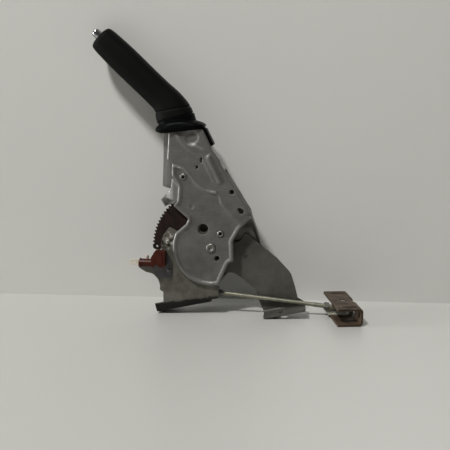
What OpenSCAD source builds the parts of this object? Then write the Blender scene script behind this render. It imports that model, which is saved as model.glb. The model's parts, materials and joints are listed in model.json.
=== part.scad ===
// Parking brake lever: two pressed shells and a grip on a floor bracket with a
// ratchet sector, a warning switch, a pull rod and a cable equalizer.
// Units are millimetres, Z is up, X runs to the vehicle rear, Y across it.
// The drawing plane is the lever's own plane; its points are measured from the pivot.

/* [Lever shells] */
// Half the thickness of the two shells together
lever_half = 14; // [13.6:0.1:15]
// Sheet thickness of the shells
sheet_t = 1.6; // [1.2:0.1:1.8]
// Height of the pressed steps in the shells
step_h = 1.4; // [1:0.1:1.6]
// Radius of the round lower end of the shells
disc_r = 48.5; // [47:0.25:49]
// Radius of the large hole in the near shell
big_hole_r = 6.8; // [5:0.1:7.5]
// Height of the pressed bead beside the slot
bead_h = 2.4; // [1.5:0.1:3]

/* [Grip] */
// Half the grip's width in the lever plane
grip_a = 18; // [17:0.25:20]
// Half the grip's width across the lever
grip_b = 17; // [16.5:0.25:19]
// Half the width of the tang inside the grip
tang_a = 9; // [8.5:0.1:10]
// Half the width of the collar flange
collar_a = 29; // [27:0.5:31]

/* [Button and pawl] */
// Radius of the release button
button_r = 5.5; // [5:0.1:5.7]
// How far the button stands out of the grip
button_out = 11; // [8:0.5:14]
// Radius of the push rod wire
wire_r = 1.75; // [1.5:0.05:2]
// Thickness of the pawl and of the ratchet sector
ratchet_t = 3.5; // [2.5:0.1:3.6]
// Angle from one ratchet tooth to the next
tooth_pitch = 3.5; // [3:0.25:4]

/* [Bracket] */
// Height of the lever pivot above the floor
pivot_h = 88; // [88:0.5:90]
// Thickness of the two bracket plates
plate_t = 2.5; // [2:0.1:2.8]
// Tilt of the two bracket feet
foot_tilt = 12; // [11:0.5:12.5]
// Radius of the holes for the floor bolts
bolt_r = 4.5; // [3.5:0.25:5]
// Radius of the pivot shaft
pivot_r = 6; // [5.5:0.25:6.5]

/* [Pull rod and equalizer] */
// Radius of the pull rod shank
rod_r = 2.6; // [2.2:0.1:2.8]
// Length of the equalizer channel
eq_len = 88; // [80:1:96]
// Width of the equalizer channel
eq_w = 31.5; // [29:0.5:34]
// Wall thickness of the equalizer channel
eq_t = 3; // [2.5:0.1:3.2]
// Angle at which the equalizer rests on its saddle
eq_turn = 9; // [0:1:12]

/* [Hidden] */
$fn = 48;

run_gap = 0.05;
end_lap = 0.03;
pivot_x = -20.6;
base_y = lever_half - step_h;
base_in = base_y - sheet_t;
wall_in = 6;
wall_out = wall_in + plate_t;
far_in = 5.5;
far_out = far_in + plate_t;
rim_near = -wall_out - 0.5;
rim_far = far_out + 0.5;
deep_r = 100;
big_hole_at = [-10, 24.3];
low_hole_at = [7.5, -13];

grip_tip = [-137.2, 260.1];
grip_head = -43.7;
grip_run = 107.2;
grip_bend_r = 46;
grip_bend = 40;
grip_bend_len = grip_bend_r * grip_bend * PI / 180;

pawl_at = [-34.2, 89.4];
pawl_arm = 30;
crest_r = 75;
root_r = 73.2;
tip_at = 125;
teeth_span = 63;
engage_turn = 0.7;
rivet_at = [[-55, 6], [-33, 17], [-20, 40]];
rivet_r = 2.5;
rivet_head_r = 3.8;
rivet_sink = 1;

pin_over = 30;
pin_at = [-8, pin_over - pivot_h];
rod_drop = 6.2;
eq_h = 22;
eq_bottom = -pivot_h;
eq_top = eq_bottom + eq_h;
eq_at = [166.2, (eq_top + eq_bottom) / 2];
rod_end = 180.2;

function unit(v) = v / norm(v);
function ray(a) = [cos(a), sin(a)];
function flat2(p) = [p[0], p[1]];

// One rounded corner of an outline whose points are x, height and radius.
function corner(p0, p1, p2) =
    let(a = unit(flat2(p0) - flat2(p1)), b = unit(flat2(p2) - flat2(p1)), dot = a * b)
    (p1[2] <= 0 || abs(dot) > 0.9995) ? [flat2(p1)] :
    let(half = acos(dot) / 2,
        mid = flat2(p1) + unit(a + b) * p1[2] / sin(half),
        s = flat2(p1) + a * p1[2] / tan(half) - mid,
        e = flat2(p1) + b * p1[2] / tan(half) - mid,
        a0 = atan2(s.y, s.x),
        da = ((atan2(e.y, e.x) - a0 + 540) % 360) - 180,
        n = max(2, ceil(abs(da) / 22)))
    [for (i = [0:n]) mid + p1[2] * ray(a0 + da * i / n)];

function rounded(pts) = let(n = len(pts))
    [for (i = [0:n - 1]) each corner(pts[(i + n - 1) % n], pts[i], pts[(i + 1) % n])];

// The same outline moved inward by d; the points run anticlockwise.
function inset(pts, d) = let(n = len(pts))
    [for (i = [0:n - 1])
        let(p1 = pts[i],
            u = unit(flat2(p1) - flat2(pts[(i + n - 1) % n])),
            v = unit(flat2(pts[(i + 1) % n]) - flat2(p1)),
            m = ([-u.y, u.x] + [-v.y, v.x]) / (1 + u * v),
            bend = u.x * v.y - u.y * v.x)
        [p1[0] + m.x * d, p1[1] + m.y * d,
         p1[2] <= 0 ? 0 : bend > 0 ? max(p1[2] - d, 0) : p1[2] + d]];

// Point and heading on the grip's centre line, s from its tip.
function grip_path(s) =
    let(start = grip_tip + grip_run * ray(grip_head),
        mid = start + grip_bend_r * ray(grip_head - 90),
        turn = min(max((s - grip_run) / grip_bend_len, 0), 1) * grip_bend,
        past = max(s - grip_run - grip_bend_len, 0))
    s < grip_run ? [each grip_tip + s * ray(grip_head), grip_head] :
    [each mid + grip_bend_r * ray(grip_head + 90 - turn) + past * ray(grip_head - turn),
     grip_head - turn];

function beside(s, d) = let(p = grip_path(s)) flat2(p) + d * ray(p[2] + 90);

// An oval ring across the grip's centre line: s, half width, half depth, side shift, roundness.
function oval(row, n) = let(p = grip_path(row[0]))
    [for (i = [0:n - 1])
        let(a = 360 * i / n, c = cos(a), d = sin(a), k = len(row) > 4 ? row[4] : 0.88,
            w = row[3] + row[1] * sign(c) * pow(abs(c), k), q = flat2(p) + w * ray(p[2] + 90))
        [q.x, row[2] * sign(d) * pow(abs(d), k), q.y]];

module loft(rows, n = 32) {
    rings = [for (row = rows) oval(row, n)];
    m = len(rings);
    polyhedron(
        points = [for (r = rings) each r],
        faces = concat(
            [[for (i = [n - 1:-1:0]) i]],
            [for (k = [0:m - 2], i = [0:n - 1])
                [k * n + i, k * n + (i + 1) % n, (k + 1) * n + i]],
            [for (k = [0:m - 2], i = [0:n - 1])
                [(k + 1) * n + i, k * n + (i + 1) % n, (k + 1) * n + (i + 1) % n]],
            [[for (i = [0:n - 1]) (m - 1) * n + i]]));
}

// Moves lever plane work to the pivot.
module at_pivot() {
    translate([pivot_x, 0, pivot_h]) children();
}

// A flat shape in the lever plane, as a plate from y0 to y1.
module slab(y0, y1) {
    translate([0, y1, 0]) rotate([90, 0, 0]) linear_extrude(y1 - y0) children();
}

// A round bar across the lever plane.
module bar(p, r, y0, y1) {
    translate([p.x, y0, p.y]) rotate([-90, 0, 0]) cylinder(r = r, h = y1 - y0);
}

// A turned piece across the lever plane; its profile is radius and y.
module turned(p, profile) {
    translate([p.x, 0, p.y]) rotate([-90, 0, 0]) rotate_extrude() polygon(profile);
}

// Work along a line in the lever plane: x runs along it from p.
module aim(p, a) {
    translate([p.x, 0, p.y]) rotate([0, -a, 0]) children();
}

// A round bar along a line in the lever plane.
module run(p, a, r, from, to) {
    aim(p, a) translate([from, 0, 0]) rotate([0, 90, 0]) cylinder(r = r, h = to - from);
}

// Outline shared by both shells above the round end: right edge, tang and left edge.
function shell_top() = concat(
    [[49, 47, 3], [12.9, 105.1, 8], [10.6, 111.6, 5], [1.8, 123.6, 8], [-9.4, 147.3, 12],
     [-27, 165, 14]],
    [[each beside(grip_run - 4, tang_a), 12], [each beside(6, tang_a), 2],
     [each beside(6, -tang_a), 2], [each beside(grip_run - 6, -tang_a), 12]],
    [[-56, 160, 14], [-52.2, 145, 12], [-54.4, 110, 4], [-48.2, 105.5, 4], [-49, 91.2, 6],
     [-40.7, 78, 6], [-42, 60, 5], [-47.7, 53.3, 1.5], [-28.8, 36.6, 2.5], [-31, 31, 2.5]]);

function disc_arc() = [for (i = [0:14]) [each disc_r * ray(157 + 125 * i / 14), 0]];

function near_pts() = concat(disc_arc(),
    [[22.5, -19, 5], [29, -16.5, 1.5], [28, 9, 6], [36.5, 24.5, 20], [50.8, 38.8, 1], [47.8, 41.6, 1]],
    shell_top());

function far_pts() = concat(disc_arc(),
    [[30, -26, 8], [58, -12, 7], [64.4, -0.7, 5], [52, 36, 8]], shell_top());

// The raised panel of the shells, above the pawl panel and to the right of it.
function panel_pts() =
    [[40, 28, 4], [50.8, 38.8, 1], [47.8, 41.6, 1], [49, 47, 3], [12.9, 105.1, 8], [10.6, 111.6, 5],
     [1.8, 123.6, 8], [-9.4, 147.3, 12], [-20, 158, 5], [-27.6, 164, 2], [-55, 164, 2], [-56, 160, 4],
     [-52.2, 145, 12], [-54.4, 110, 4], [-45.5, 101.5, 4], [-33.5, 98.2, 6], [-24.7, 89.5, 12],
     [-13.7, 76.2, 10], [-2.5, 70.8, 12], [10, 66, 5], [12.3, 55.8, 5], [24, 42, 8]];

// The narrow raised rim along the pawl panel.
rim_pts = [[-43, 100.5, 2], [-48.2, 105.5, 2], [-49, 91.2, 5], [-40.7, 78, 5], [-42, 60, 4],
           [-47.7, 53.3, 1], [-44, 50.5, 1.5], [-38.5, 59.5, 5], [-36.8, 77.5, 5], [-44.5, 92, 5]];

// The welded seam flange along the front edge, with the switch ear below its notch.
near_seam = [[-52, 157, 0], [-57, 154, 3], [-57.4, 105, 8], [-58.4, 78, 2], [-50.5, 76.5, 1.5],
             [-50.5, 73, 1], [-53, 72, 2], [-62.6, 61.4, 0], [-57, 52.6, 0], [-47, 54.5, 3],
             [-41.5, 60, 4], [-40, 78, 4], [-47, 92, 4], [-47, 105, 4], [-52, 112, 4], [-51, 145, 4]];
far_seam = [[-52, 157, 0], [-60, 154, 3], [-61, 109, 8], [-62.4, 76.4, 2], [-53, 73.4, 2], [-42, 72.6, 2],
            [-40, 78, 4], [-47, 92, 4], [-47, 105, 4], [-52, 112, 4], [-51, 145, 4]];

// A pressed pan, its open side toward +Y; the far shell is its mirror image.
module pan(pts, rim) {
    difference() {
        union() {
            slab(-base_y, rim) polygon(rounded(pts));
            slab(-lever_half, rim) polygon(rounded(panel_pts()));
            slab(-lever_half, -base_in) polygon(rounded(rim_pts));
            difference() {
                slab(-base_y, 0) polygon(rounded(pts));
                bar([0, 0], deep_r, -base_y - 1, 1);
            }
        }
        slab(-base_in, 1) polygon(rounded(inset(pts, sheet_t)));
        slab(-lever_half + sheet_t, 1) polygon(rounded(inset(panel_pts(), sheet_t)));
        run(grip_tip, grip_head, button_r + 0.6, -2, 20);
    }
}

// The long pressed bead, or its hollow when grow is minus the sheet thickness.
module bead(grow) {
    r = (49 + bead_h * bead_h) / (2 * bead_h);
    a = [-3.1, 113.2];
    b = [10.4, 85];
    translate([0, -lever_half - bead_h + r, 0]) {
        run(a, atan2(b.y - a.y, b.x - a.x), r + grow, 0, norm(b - a));
        translate([a.x, 0, a.y]) sphere(r = r + grow + end_lap);
        translate([b.x, 0, b.y]) sphere(r = r + grow + end_lap);
    }
}

module near_shell() color([0.42, 0.41, 0.40]) at_pivot() {
    tab_a = [-62.6, 61.4];
    tab_b = [-57, 52.6];
    difference() {
        union() {
            pan(near_pts(), rim_near);
            slab(-sheet_t, 0) difference() {
                polygon(rounded(near_seam));
                polygon(rounded(inset(near_pts(), sheet_t)));
            }
            slab(-16, 0) polygon([tab_a, tab_b, tab_b + sheet_t * ray(31), tab_a + sheet_t * ray(31)]);
            intersection() {
                bead(0);
                slab(-lever_half - 4, -lever_half + 0.4) translate([3, 99]) circle(r = 40);
            }
            bar([-23, 138.3], 8.5, -lever_half + 1.2, -lever_half + 1.2 + sheet_t);
            bar([-23.9, 52.6], 3.6, -base_y + 0.8, -base_in + 1);
        }
        intersection() {
            bead(-sheet_t);
            slab(-lever_half - 4, -lever_half + sheet_t + 0.2) translate([3, 99]) circle(r = 40);
        }
        translate([-23, -lever_half - 0.01, 138.3]) rotate([-90, 0, 0]) cylinder(r1 = 8.6, r2 = 6.4, h = 1.6);
        translate([-23.9, -base_y - 0.01, 52.6]) rotate([-90, 0, 0]) cylinder(r1 = 3.3, r2 = 1.6, h = 1.2);
        bar(big_hole_at, big_hole_r, -20, rim_near + 0.1);
        bar([12.1, 18.6], 3.2, -20, rim_near + 0.1);
        bar(low_hole_at, 3.5, -20, rim_near + 0.1);
        bar([0, 0], 4.5, -20, rim_near + 0.1);
        bar(pawl_at, 3, -20, -5);
        bar([-17, 102.1], 1.8, -20, -8);
        bar([26.3, 71.4], 3.1, -20, -8);
        bar([38, 47.3], 3.3, -20, -8);
        bar([35.6, 49.7], 2.2, -20, -8);
        slab(-20, -8) {
            translate([-11.8, 112.4]) circle(r = 1.7);
            polygon([[-13.4, 112], [-12.4, 107.6], [-11.2, 107.6], [-10.2, 112]]);
        }
    }
}

module far_shell() color([0.40, 0.40, 0.38]) at_pivot() mirror([0, 1, 0]) {
    difference() {
        union() {
            pan(far_pts(), -rim_far);
            slab(-sheet_t, 0) difference() {
                polygon(rounded(far_seam));
                polygon(rounded(inset(far_pts(), sheet_t)));
            }
        }
        bar([0, 0], 4.5, -20, -8);
        bar(pawl_at, 3, -20, -5);
        bar(big_hole_at, big_hole_r, -20, -8);
    }
}

module shell_eyelet() color([0.55, 0.54, 0.52]) at_pivot()
    turned([12.1, 18.6], [[1.9, -base_y - 1.4], [2.4, -base_y - 1.9], [3.4, -base_y - 1.7],
                          [4.4, -base_y - 0.6], [4.4, -base_y], [3.2, -base_y], [3.2, -base_in],
                          [4.2, -base_in], [4.2, -base_in + 0.8], [1.9, -base_in + 0.8]]);

// Room for both shells inside the grip.
module shell_room() {
    slab(-base_y, base_y) polygon(rounded(near_pts()));
    slab(-lever_half, lever_half) polygon(rounded(panel_pts()));
}

// Room for the raised panels inside the collar.
function collar_room() =
    [[10.6, 111.6, 0], [1.8, 123.6, 8], [-9.4, 147.3, 12], [-27, 165, 14],
     [each beside(grip_run - 4, tang_a), 0], [each beside(grip_run - 6, -tang_a), 0],
     [-56, 160, 14], [-52.2, 145, 12], [-54.4, 110, 0]];

module grip() color([0.08, 0.08, 0.08]) at_pivot() difference() {
    loft([[0, grip_a - 5.6, grip_b - 5.2, 0], [0.7, grip_a - 3.9, grip_b - 3.4, 0],
          [2.4, grip_a - 2.5, grip_b - 1.9, 0], [6, grip_a - 1.7, grip_b - 0.9, 0],
          [20, grip_a - 0.7, grip_b - 0.3, 0], [48, grip_a, grip_b, 0], [80, grip_a - 0.2, grip_b, 0],
          [104, grip_a + 0.1, grip_b + 0.2, 0], [112, grip_a + 1, grip_b + 0.5, 0],
          [118, grip_a + 2.2, grip_b + 0.8, 0], [124, grip_a + 3.8, grip_b + 1.2, 0.2],
          [130, grip_a + 5, grip_b + 1.6, 0.6], [134, grip_a + 5.4, grip_b + 1.8, 1]]);
    shell_room();
    run(grip_tip, grip_head, button_r + 1, -2, 20);
}

module grip_collar() color([0.07, 0.09, 0.09]) at_pivot() difference() {
    union() {
        loft([[134, collar_a - 5.6, grip_b + 1.8, 1], [134.8, collar_a - 4.9, grip_b + 2.5, 1.2],
              [140, collar_a - 5, grip_b + 2.6, 2.4], [141, collar_a - 5.5, grip_b + 2.2, 2.9, 0.8],
              [142, collar_a - 4.4, grip_b + 2.6, 3.6, 0.74],
              [145.5, collar_a + 0.6, grip_b + 3.4, 5.4, 0.56],
              [147.5, collar_a + 1.9, grip_b + 3.6, 6.2, 0.5],
              [149.5, collar_a + 1.4, grip_b + 3.2, 6.6, 0.5],
              [151.5, collar_a - 1.2, grip_b + 1.8, 7.2, 0.5],
              [152.4, collar_a - 2, grip_b + 0.6, 7.6, 0.5]]);
        slab(-9, 9) polygon(rounded([
            [each beside(148.6, collar_a + 1.9), 0], [each beside(154.9, collar_a + 4.3), 3],
            [each beside(175, collar_a + 12.8), 1.5], [each beside(173, collar_a + 16.9), 1.5],
            [each beside(152.5, collar_a + 9.6), 3]]));
    }
    slab(-lever_half, lever_half) polygon(rounded(collar_room()));
    slab(-sheet_t, sheet_t) polygon(rounded(far_seam));
}

// The block in the tang that guides the button.
module button_guide() color([0.12, 0.12, 0.12]) at_pivot() difference() {
    aim(grip_tip, grip_head) translate([6 + sheet_t, -base_in, -tang_a + sheet_t])
        cube([9, 2 * base_in, 2 * (tang_a - sheet_t)]);
    run(grip_tip, grip_head, button_r + run_gap, -2, 30);
}

// The plate across the tang that the return spring stands on.
module spring_seat() color([0.45, 0.45, 0.43]) at_pivot() difference() {
    aim(grip_tip, grip_head) translate([62, -base_in, -tang_a + sheet_t])
        cube([2.5, 2 * base_in, 2 * (tang_a - sheet_t)]);
    run(grip_tip, grip_head, wire_r + 0.6, 50, 70);
}

module release_button() color([0.80, 0.80, 0.80]) at_pivot() aim(grip_tip, grip_head)
    rotate([0, 90, 0]) difference() {
        rotate_extrude() polygon([[0, -button_out], [button_r - 3, -button_out + 0.3],
            [button_r - 1.2, -button_out + 1], [button_r - 0.3, -button_out + 2.1],
            [button_r, -button_out + 3.6], [button_r, 23], [6.8, 23], [6.8, 26], [0, 26]]);
        translate([0, 0, 14]) cylinder(r = wire_r, h = 20);
    }

// Bent wire from the button to the pawl's tail.
module push_rod() color([0.50, 0.50, 0.46]) at_pivot() {
    hook = pawl_at + pawl_arm * ray(grip_head + 90);
    knee = grip_tip + 112 * ray(grip_head);
    run(grip_tip, grip_head, wire_r, 14, 112);
    translate([knee.x, 0, knee.y]) sphere(r = wire_r + end_lap);
    run(knee, atan2(hook.y - knee.y, hook.x - knee.x), wire_r, 0, norm(hook - knee));
    translate([hook.x, 0, hook.y]) sphere(r = wire_r + end_lap);
    bar(hook, wire_r, -10.2, 0);
}

// Coil between the button's foot and its seat.
module return_spring() color([0.55, 0.55, 0.52]) at_pivot() aim(grip_tip, grip_head)
    translate([26, 0, 0]) coil(5, 0.9, 36, 8);

// A wire coil along x: mean radius, wire radius, free length and turns.
module coil(r, w, length, turns) {
    n = 6;
    m = turns * 14;
    lift = (length - 2 * w) / m;
    polyhedron(
        points = [for (k = [0:m], i = [0:n - 1])
            let(a = 360 * k / 14, q = r + w * cos(360 * i / n))
            [w + k * lift + w * sin(360 * i / n), q * cos(a), q * sin(a)]],
        faces = concat(
            [[for (i = [n - 1:-1:0]) i]],
            [for (k = [0:m - 1], i = [0:n - 1]) [k * n + i, k * n + (i + 1) % n, (k + 1) * n + i]],
            [for (k = [0:m - 1], i = [0:n - 1])
                [(k + 1) * n + i, k * n + (i + 1) % n, (k + 1) * n + (i + 1) % n]],
            [[for (i = [0:n - 1]) m * n + i]]));
}

module pivot_shaft() color([0.45, 0.45, 0.44]) at_pivot()
    turned([0, 0], [[0, -base_y - 1.2], [1.6, -base_y - 1.5], [2.4, -base_y - 2.1], [4.6, -base_y - 2.2],
        [pivot_r - 0.3, -base_y - 1.5], [pivot_r + 0.4, -base_y - 0.5], [pivot_r + 0.4, -base_y],
        [4.5, -base_y], [4.5, -base_in], [pivot_r, -base_in], [pivot_r, base_in], [4.5, base_in],
        [4.5, base_y], [pivot_r + 0.4, base_y], [pivot_r + 0.4, base_y + 0.5],
        [pivot_r - 0.3, base_y + 1.5], [0, base_y + 1.9]]);

module near_bush() color([0.50, 0.49, 0.45]) at_pivot()
    turned([0, 0], [[pivot_r, -base_in], [9.5, -base_in], [9.5, -wall_out - 0.1],
                    [pivot_r, -wall_out - 0.1]]);

module far_bush() color([0.50, 0.49, 0.45]) at_pivot()
    turned([0, 0], [[pivot_r, far_out + 0.1], [9.5, far_out + 0.1], [9.5, base_in], [pivot_r, base_in]]);

// The short arm on the shaft that draws the pull rod.
module pull_arm() color([0.36, 0.35, 0.33]) at_pivot() difference() {
    a = atan2(pin_at.y, pin_at.x);
    union() {
        bar([0, 0], 11, -wall_in + 0.1, far_in - 0.1);
        slab(-2, 2) {
            polygon([11 * ray(a - 92), pin_at + 8 * ray(a - 90), pin_at + 8 * ray(a + 90), 11 * ray(a + 92)]);
            translate(pin_at) circle(r = 8);
        }
    }
    bar([0, 0], pivot_r, -20, 20);
    bar(pin_at, 3 + run_gap, -20, 20);
}

module pawl_pin() color([0.48, 0.48, 0.46]) at_pivot()
    turned(pawl_at, [[0, -base_y - 1], [2.2, -base_y - 1.3], [3.6, -base_y - 1.1], [4.6, -base_y - 0.4],
        [4.6, -base_y], [3, -base_y], [3, base_y], [4.6, base_y], [4.6, base_y + 0.6], [3, base_y + 1.3],
        [0, base_y + 1.5]]);

module pawl() color([0.34, 0.33, 0.32]) at_pivot() difference() {
    hook = pawl_at + pawl_arm * ray(grip_head + 90);
    tip = (crest_r + 0.3) * ray(tip_at);
    union() {
        bar(pawl_at, 5.6, -base_in + 0.1, base_in - 0.1);
        slab(-wall_in + 0.1, -wall_in + ratchet_t - 0.1) {
            translate(hook) circle(r = 5.4);
            polygon([hook + 5 * ray(grip_head), hook - 5 * ray(grip_head),
                     pawl_at - 7 * ray(grip_head), pawl_at + 7 * ray(grip_head)]);
            polygon(rounded([[each tip + 0.7 * ray(tip_at - 90), 0.3], [each tip + 8 * ray(tip_at - 18), 2],
                     [each pawl_at + [6, 0], 0], [each pawl_at + [-5, 2], 0],
                     [each tip + 9.4 * ray(tip_at + 8), 3], [each tip + 0.7 * ray(tip_at + 90), 0.3]]));
            translate(pawl_at) circle(r = 7);
        }
    }
    bar(pawl_at, 3 + run_gap, -20, 20);
    bar(hook, wire_r + 0.75, -20, 20);
}

// Sector teeth; the gap under the pawl's tip is set back by the turn it makes as it drops in.
function sector_teeth() =
    let(n = floor(teeth_span / tooth_pitch), a0 = tip_at - engage_turn - 2 * tooth_pitch)
    [for (i = [0:n - 1])
        let(a = a0 + i * tooth_pitch)
        each [root_r * ray(a - 0.24 * tooth_pitch), root_r * ray(a + 0.24 * tooth_pitch),
              crest_r * ray(a + 0.34 * tooth_pitch), crest_r * ray(a + 0.6 * tooth_pitch)]];

module ratchet_sector() color([0.22, 0.14, 0.11]) at_pivot() difference() {
    slab(-wall_in, -wall_in + ratchet_t) difference() {
        polygon(concat([30 * ray(112), 71 * ray(112)], sector_teeth(),
                       [74.5 * ray(181.5), 72 * ray(183), 66 * ray(183.5), 62 * ray(181), 30 * ray(180)]));
        circle(r = 30);
    }
    for (p = rivet_at) bar(p, rivet_r, -20, 0);
    bar([-69.6, 0.2], 1.5, -20, 0);
}

// A rivet through the sector, its head sunk in the front bracket so that the shell passes over it.
module sector_rivet(p) {
    seat = -wall_out + rivet_sink;
    turned(p, [[0, seat - 1.2], [2.4, seat - 1], [rivet_head_r, seat - 0.2], [rivet_head_r, seat],
               [rivet_r, seat], [rivet_r, -wall_in + ratchet_t], [0, -wall_in + ratchet_t]]);
}

module sector_rivet_a() color([0.40, 0.39, 0.36]) at_pivot() sector_rivet(rivet_at[0]);
module sector_rivet_b() color([0.40, 0.39, 0.36]) at_pivot() sector_rivet(rivet_at[1]);
module sector_rivet_c() color([0.40, 0.39, 0.36]) at_pivot() sector_rivet(rivet_at[2]);

// A foot bent off a bracket plate: profile in y and height, length along the tilt.
module foot(p, length, profile) {
    aim(p, foot_tilt) rotate([90, 0, 90]) linear_extrude(length) polygon(rounded(profile));
}

front_foot_at = [-70, -pivot_h];
rear_foot_at = [67, -pivot_h];
rear_foot_len = 53.5;

module front_bracket() color([0.38, 0.38, 0.35]) at_pivot() difference() {
    low = front_foot_at + [0, 11];
    rise = tan(foot_tilt);
    union() {
        slab(-wall_out, -wall_in) polygon(rounded([
            [-62, low.y + 8 * rise, 0], [-1.6, low.y + 68.4 * rise, 0], [-1.6, low.y + 68.4 * rise - 5, 0],
            [9, low.y + 79 * rise - 5, 2], [9, -41, 8], [24, -12, 14], [24, 18, 16], [2, 44, 12],
            [-18, 48, 8], [-27, 40, 4], [-28, 30, 4], [-40, 19, 6], [-53, 26, 4],
            [-61.5, 14, 6], [-64, 4.9, 6],
            [-63.4, -4, 4], [-65, -17, 3], [-91, -17, 3], [-95.3, -21.8, 3], [-92.5, -27.5, 3],
            [-84, -33, 6], [-75, -34.8, 8], [-68.5, -42, 8], [-66, -50, 3], [-66.5, -56, 2],
            [-62, -58.5, 2]]));
        foot(front_foot_at, 70, [[-wall_out, 14, 0], [-wall_out, 3, 7], [4, 0, 10], [30, 0, 4],
                                 [30, plate_t, 0], [4.3, plate_t, 7.5], [-wall_in, plate_t + 2.5, 4.5],
                                 [-wall_in, 14, 0]]);
    }
    bar([0, 0], pivot_r + run_gap, -20, 20);
    for (p = rivet_at) {
        bar(p, rivet_r, -20, 0);
        bar(p, rivet_head_r, -20, -wall_out + rivet_sink);
    }
    bar(big_hole_at + [0.5, 0.5], big_hole_r - 1.4, -20, 0);
    bar(low_hole_at, 2.5, -20, 0);
    aim(front_foot_at, foot_tilt) translate([36, 18, -1]) cylinder(r = bolt_r, h = 10);
    bar([-68, -24], 1.5, -20, 0);
    bar([-53, -30], 1.5, -20, 0);
}

module rear_bracket() color([0.30, 0.29, 0.27]) at_pivot() difference() {
    rise = tan(foot_tilt);
    seat = front_foot_at.y + plate_t / cos(foot_tilt);
    union() {
        slab(far_in, far_out) polygon(rounded([
            [-60, seat + 10 * rise, 0], [-6, seat + 64 * rise, 0], [-3, -42, 8], [6, -35, 6], [27, -34.8, 8],
            [37, -41, 12], [54.5, -55.5, 6], [58.5, -67, 6], [rear_foot_at.x - 0.2, rear_foot_at.y + 2, 0],
            [rear_foot_at.x, rear_foot_at.y + 4, 0],
            [113, rear_foot_at.y + 4 + 46 * rise, 0], [109.5, -66, 6], [106, -52, 12], [101, -36, 3],
            [98, -31.5, 6], [82.5, -14.7, 14], [65, -0.8, 10], [43.2, 17.2, 3], [35.3, 6.1, 7], [24, 5.4, 5],
            [17, 24, 10], [-20, 30, 16],
            [-34, 4, 14], [-46, -30, 14], [-60, -64, 8]]));
        foot(rear_foot_at, rear_foot_len, [[far_out, 5.6, 0], [far_in, 5.6, 0], [far_in, plate_t, 2.5],
                                           [-20, plate_t, 0], [-20, 0, 0], [far_out, 0, 5]]);
    }
    bar([0, 0], pivot_r + run_gap, -20, 20);
    bar([43.4, -14.1], 2.4, -20, far_in + 1.2);
    aim(rear_foot_at, foot_tilt) translate([24, -11, -1]) cylinder(r = bolt_r, h = 10);
}

module switch_plate() color([0.24, 0.22, 0.23]) at_pivot() difference() {
    slab(-wall_out - 2, -wall_out) polygon(rounded([
        [-50.4, -39.8, 2], [-50.4, -20, 4], [-57, -6, 4], [-70, -5, 3], [-76, -14.5, 3], [-76, -29, 3],
        [-66.8, -39.8, 2]]));
    bar([-68, -24], 1.5, -20, 0);
    bar([-53, -30], 1.5, -20, 0);
}

switch_y = wall_out + 2;
plunger_at = [-81, -switch_y - 4.2];

module switch_body() color([0.37, 0.18, 0.11]) at_pivot() difference() {
    union() {
        slab(-switch_y - 13, -switch_y) polygon(rounded([
            [-74.2, -23.5, 1.5], [-57, -23.5, 2], [-57, -3.4, 1.5], [-69.6, -3, 1.5], [-74.6, -11, 2]]));
        translate([0, -switch_y - 6, 0]) {
            run([-88.6, -19.1], 0, 5.2, 0, 18);
            run([-89.8, -19.1], 0, 5.8, 0, 2.2);
            run([-91, -19.1], 0, 4.4, 0, 3);
        }
        slab(-switch_y - 13.8, -switch_y - 12) polygon(rounded([
            [-71, -20, 2], [-60, -20, 2], [-60, -7, 2], [-71, -7, 2]]));
    }
    translate([plunger_at.x, plunger_at.y, -21]) cylinder(r = 2.4 + run_gap, h = 12);
    bar([-68, -24], 3.4, -20 - switch_y, -switch_y + 0.1);
    translate([-94, -switch_y - 6.4, -22.4]) cube([10, 0.8, 8]);
}

module switch_terminal() color([0.78, 0.76, 0.70]) at_pivot() difference() {
    slab(-switch_y - 6.4, -switch_y - 5.6) polygon(rounded([
        [-102, -22, 2.5], [-84, -22.4, 0], [-84, -14.4, 0], [-102, -14.8, 2.5], [-104, -18.4, 1.5]]));
    bar([-97.5, -18.4], 1.7, -30, 0);
}

module switch_screw(p) {
    turned(p, [[0, -switch_y - 2.2], [2, -switch_y - 2.1], [3.1, -switch_y - 1], [3.1, -switch_y],
               [1.5, -switch_y], [1.5, -wall_in + 1.2], [0, -wall_in + 1.2]]);
}

module switch_screw_a() color([0.5, 0.5, 0.48]) at_pivot() switch_screw([-68, -24]);
module switch_screw_b() color([0.5, 0.5, 0.48]) at_pivot() switch_screw([-53, -30]);

module switch_plunger() color([0.85, 0.84, 0.78]) at_pivot() translate([plunger_at.x, plunger_at.y, 0])
    rotate_extrude() polygon([[0, -17.2], [2.4, -17.2], [2.4, -10.6], [1.9, -9.6], [1, -9.1], [0, -9]]);

// Work along the pull rod: x runs along it from the clevis pin.
module on_rod() {
    aim(pin_at, -rod_drop) children();
}

rod_len = (rod_end - pin_at.x) / cos(rod_drop);
saddle_s = (eq_at.x - pin_at.x) / cos(rod_drop);
nut_s = saddle_s + 8.6;

// Where the plane across the rod at s reaches height z.
function across_rod(s, z) =
    pin_at.x + s * cos(rod_drop) + (z - pin_at.y + s * sin(rod_drop)) * tan(rod_drop);

// Rolled thread as ridges, from s0 to s1 along the rod.
module ridges(s0, s1) {
    n = floor(s1 - s0);
    translate([s0, 0, 0]) rotate([0, 90, 0]) rotate_extrude()
        polygon(concat([[0, 0]], [for (i = [0:n - 1]) each [[rod_r, i], [rod_r + 0.42, i + 0.5]]],
                       [[rod_r, n], [0, n]]));
}

module pull_rod() color([0.55, 0.56, 0.49]) at_pivot() on_rod() {
    translate([16, 0, 0]) rotate([0, 90, 0]) cylinder(r = rod_r, h = rod_len - 16);
    ridges(saddle_s - 38, saddle_s - 24);
    ridges(saddle_s - 17, saddle_s - 3);
}

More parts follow.
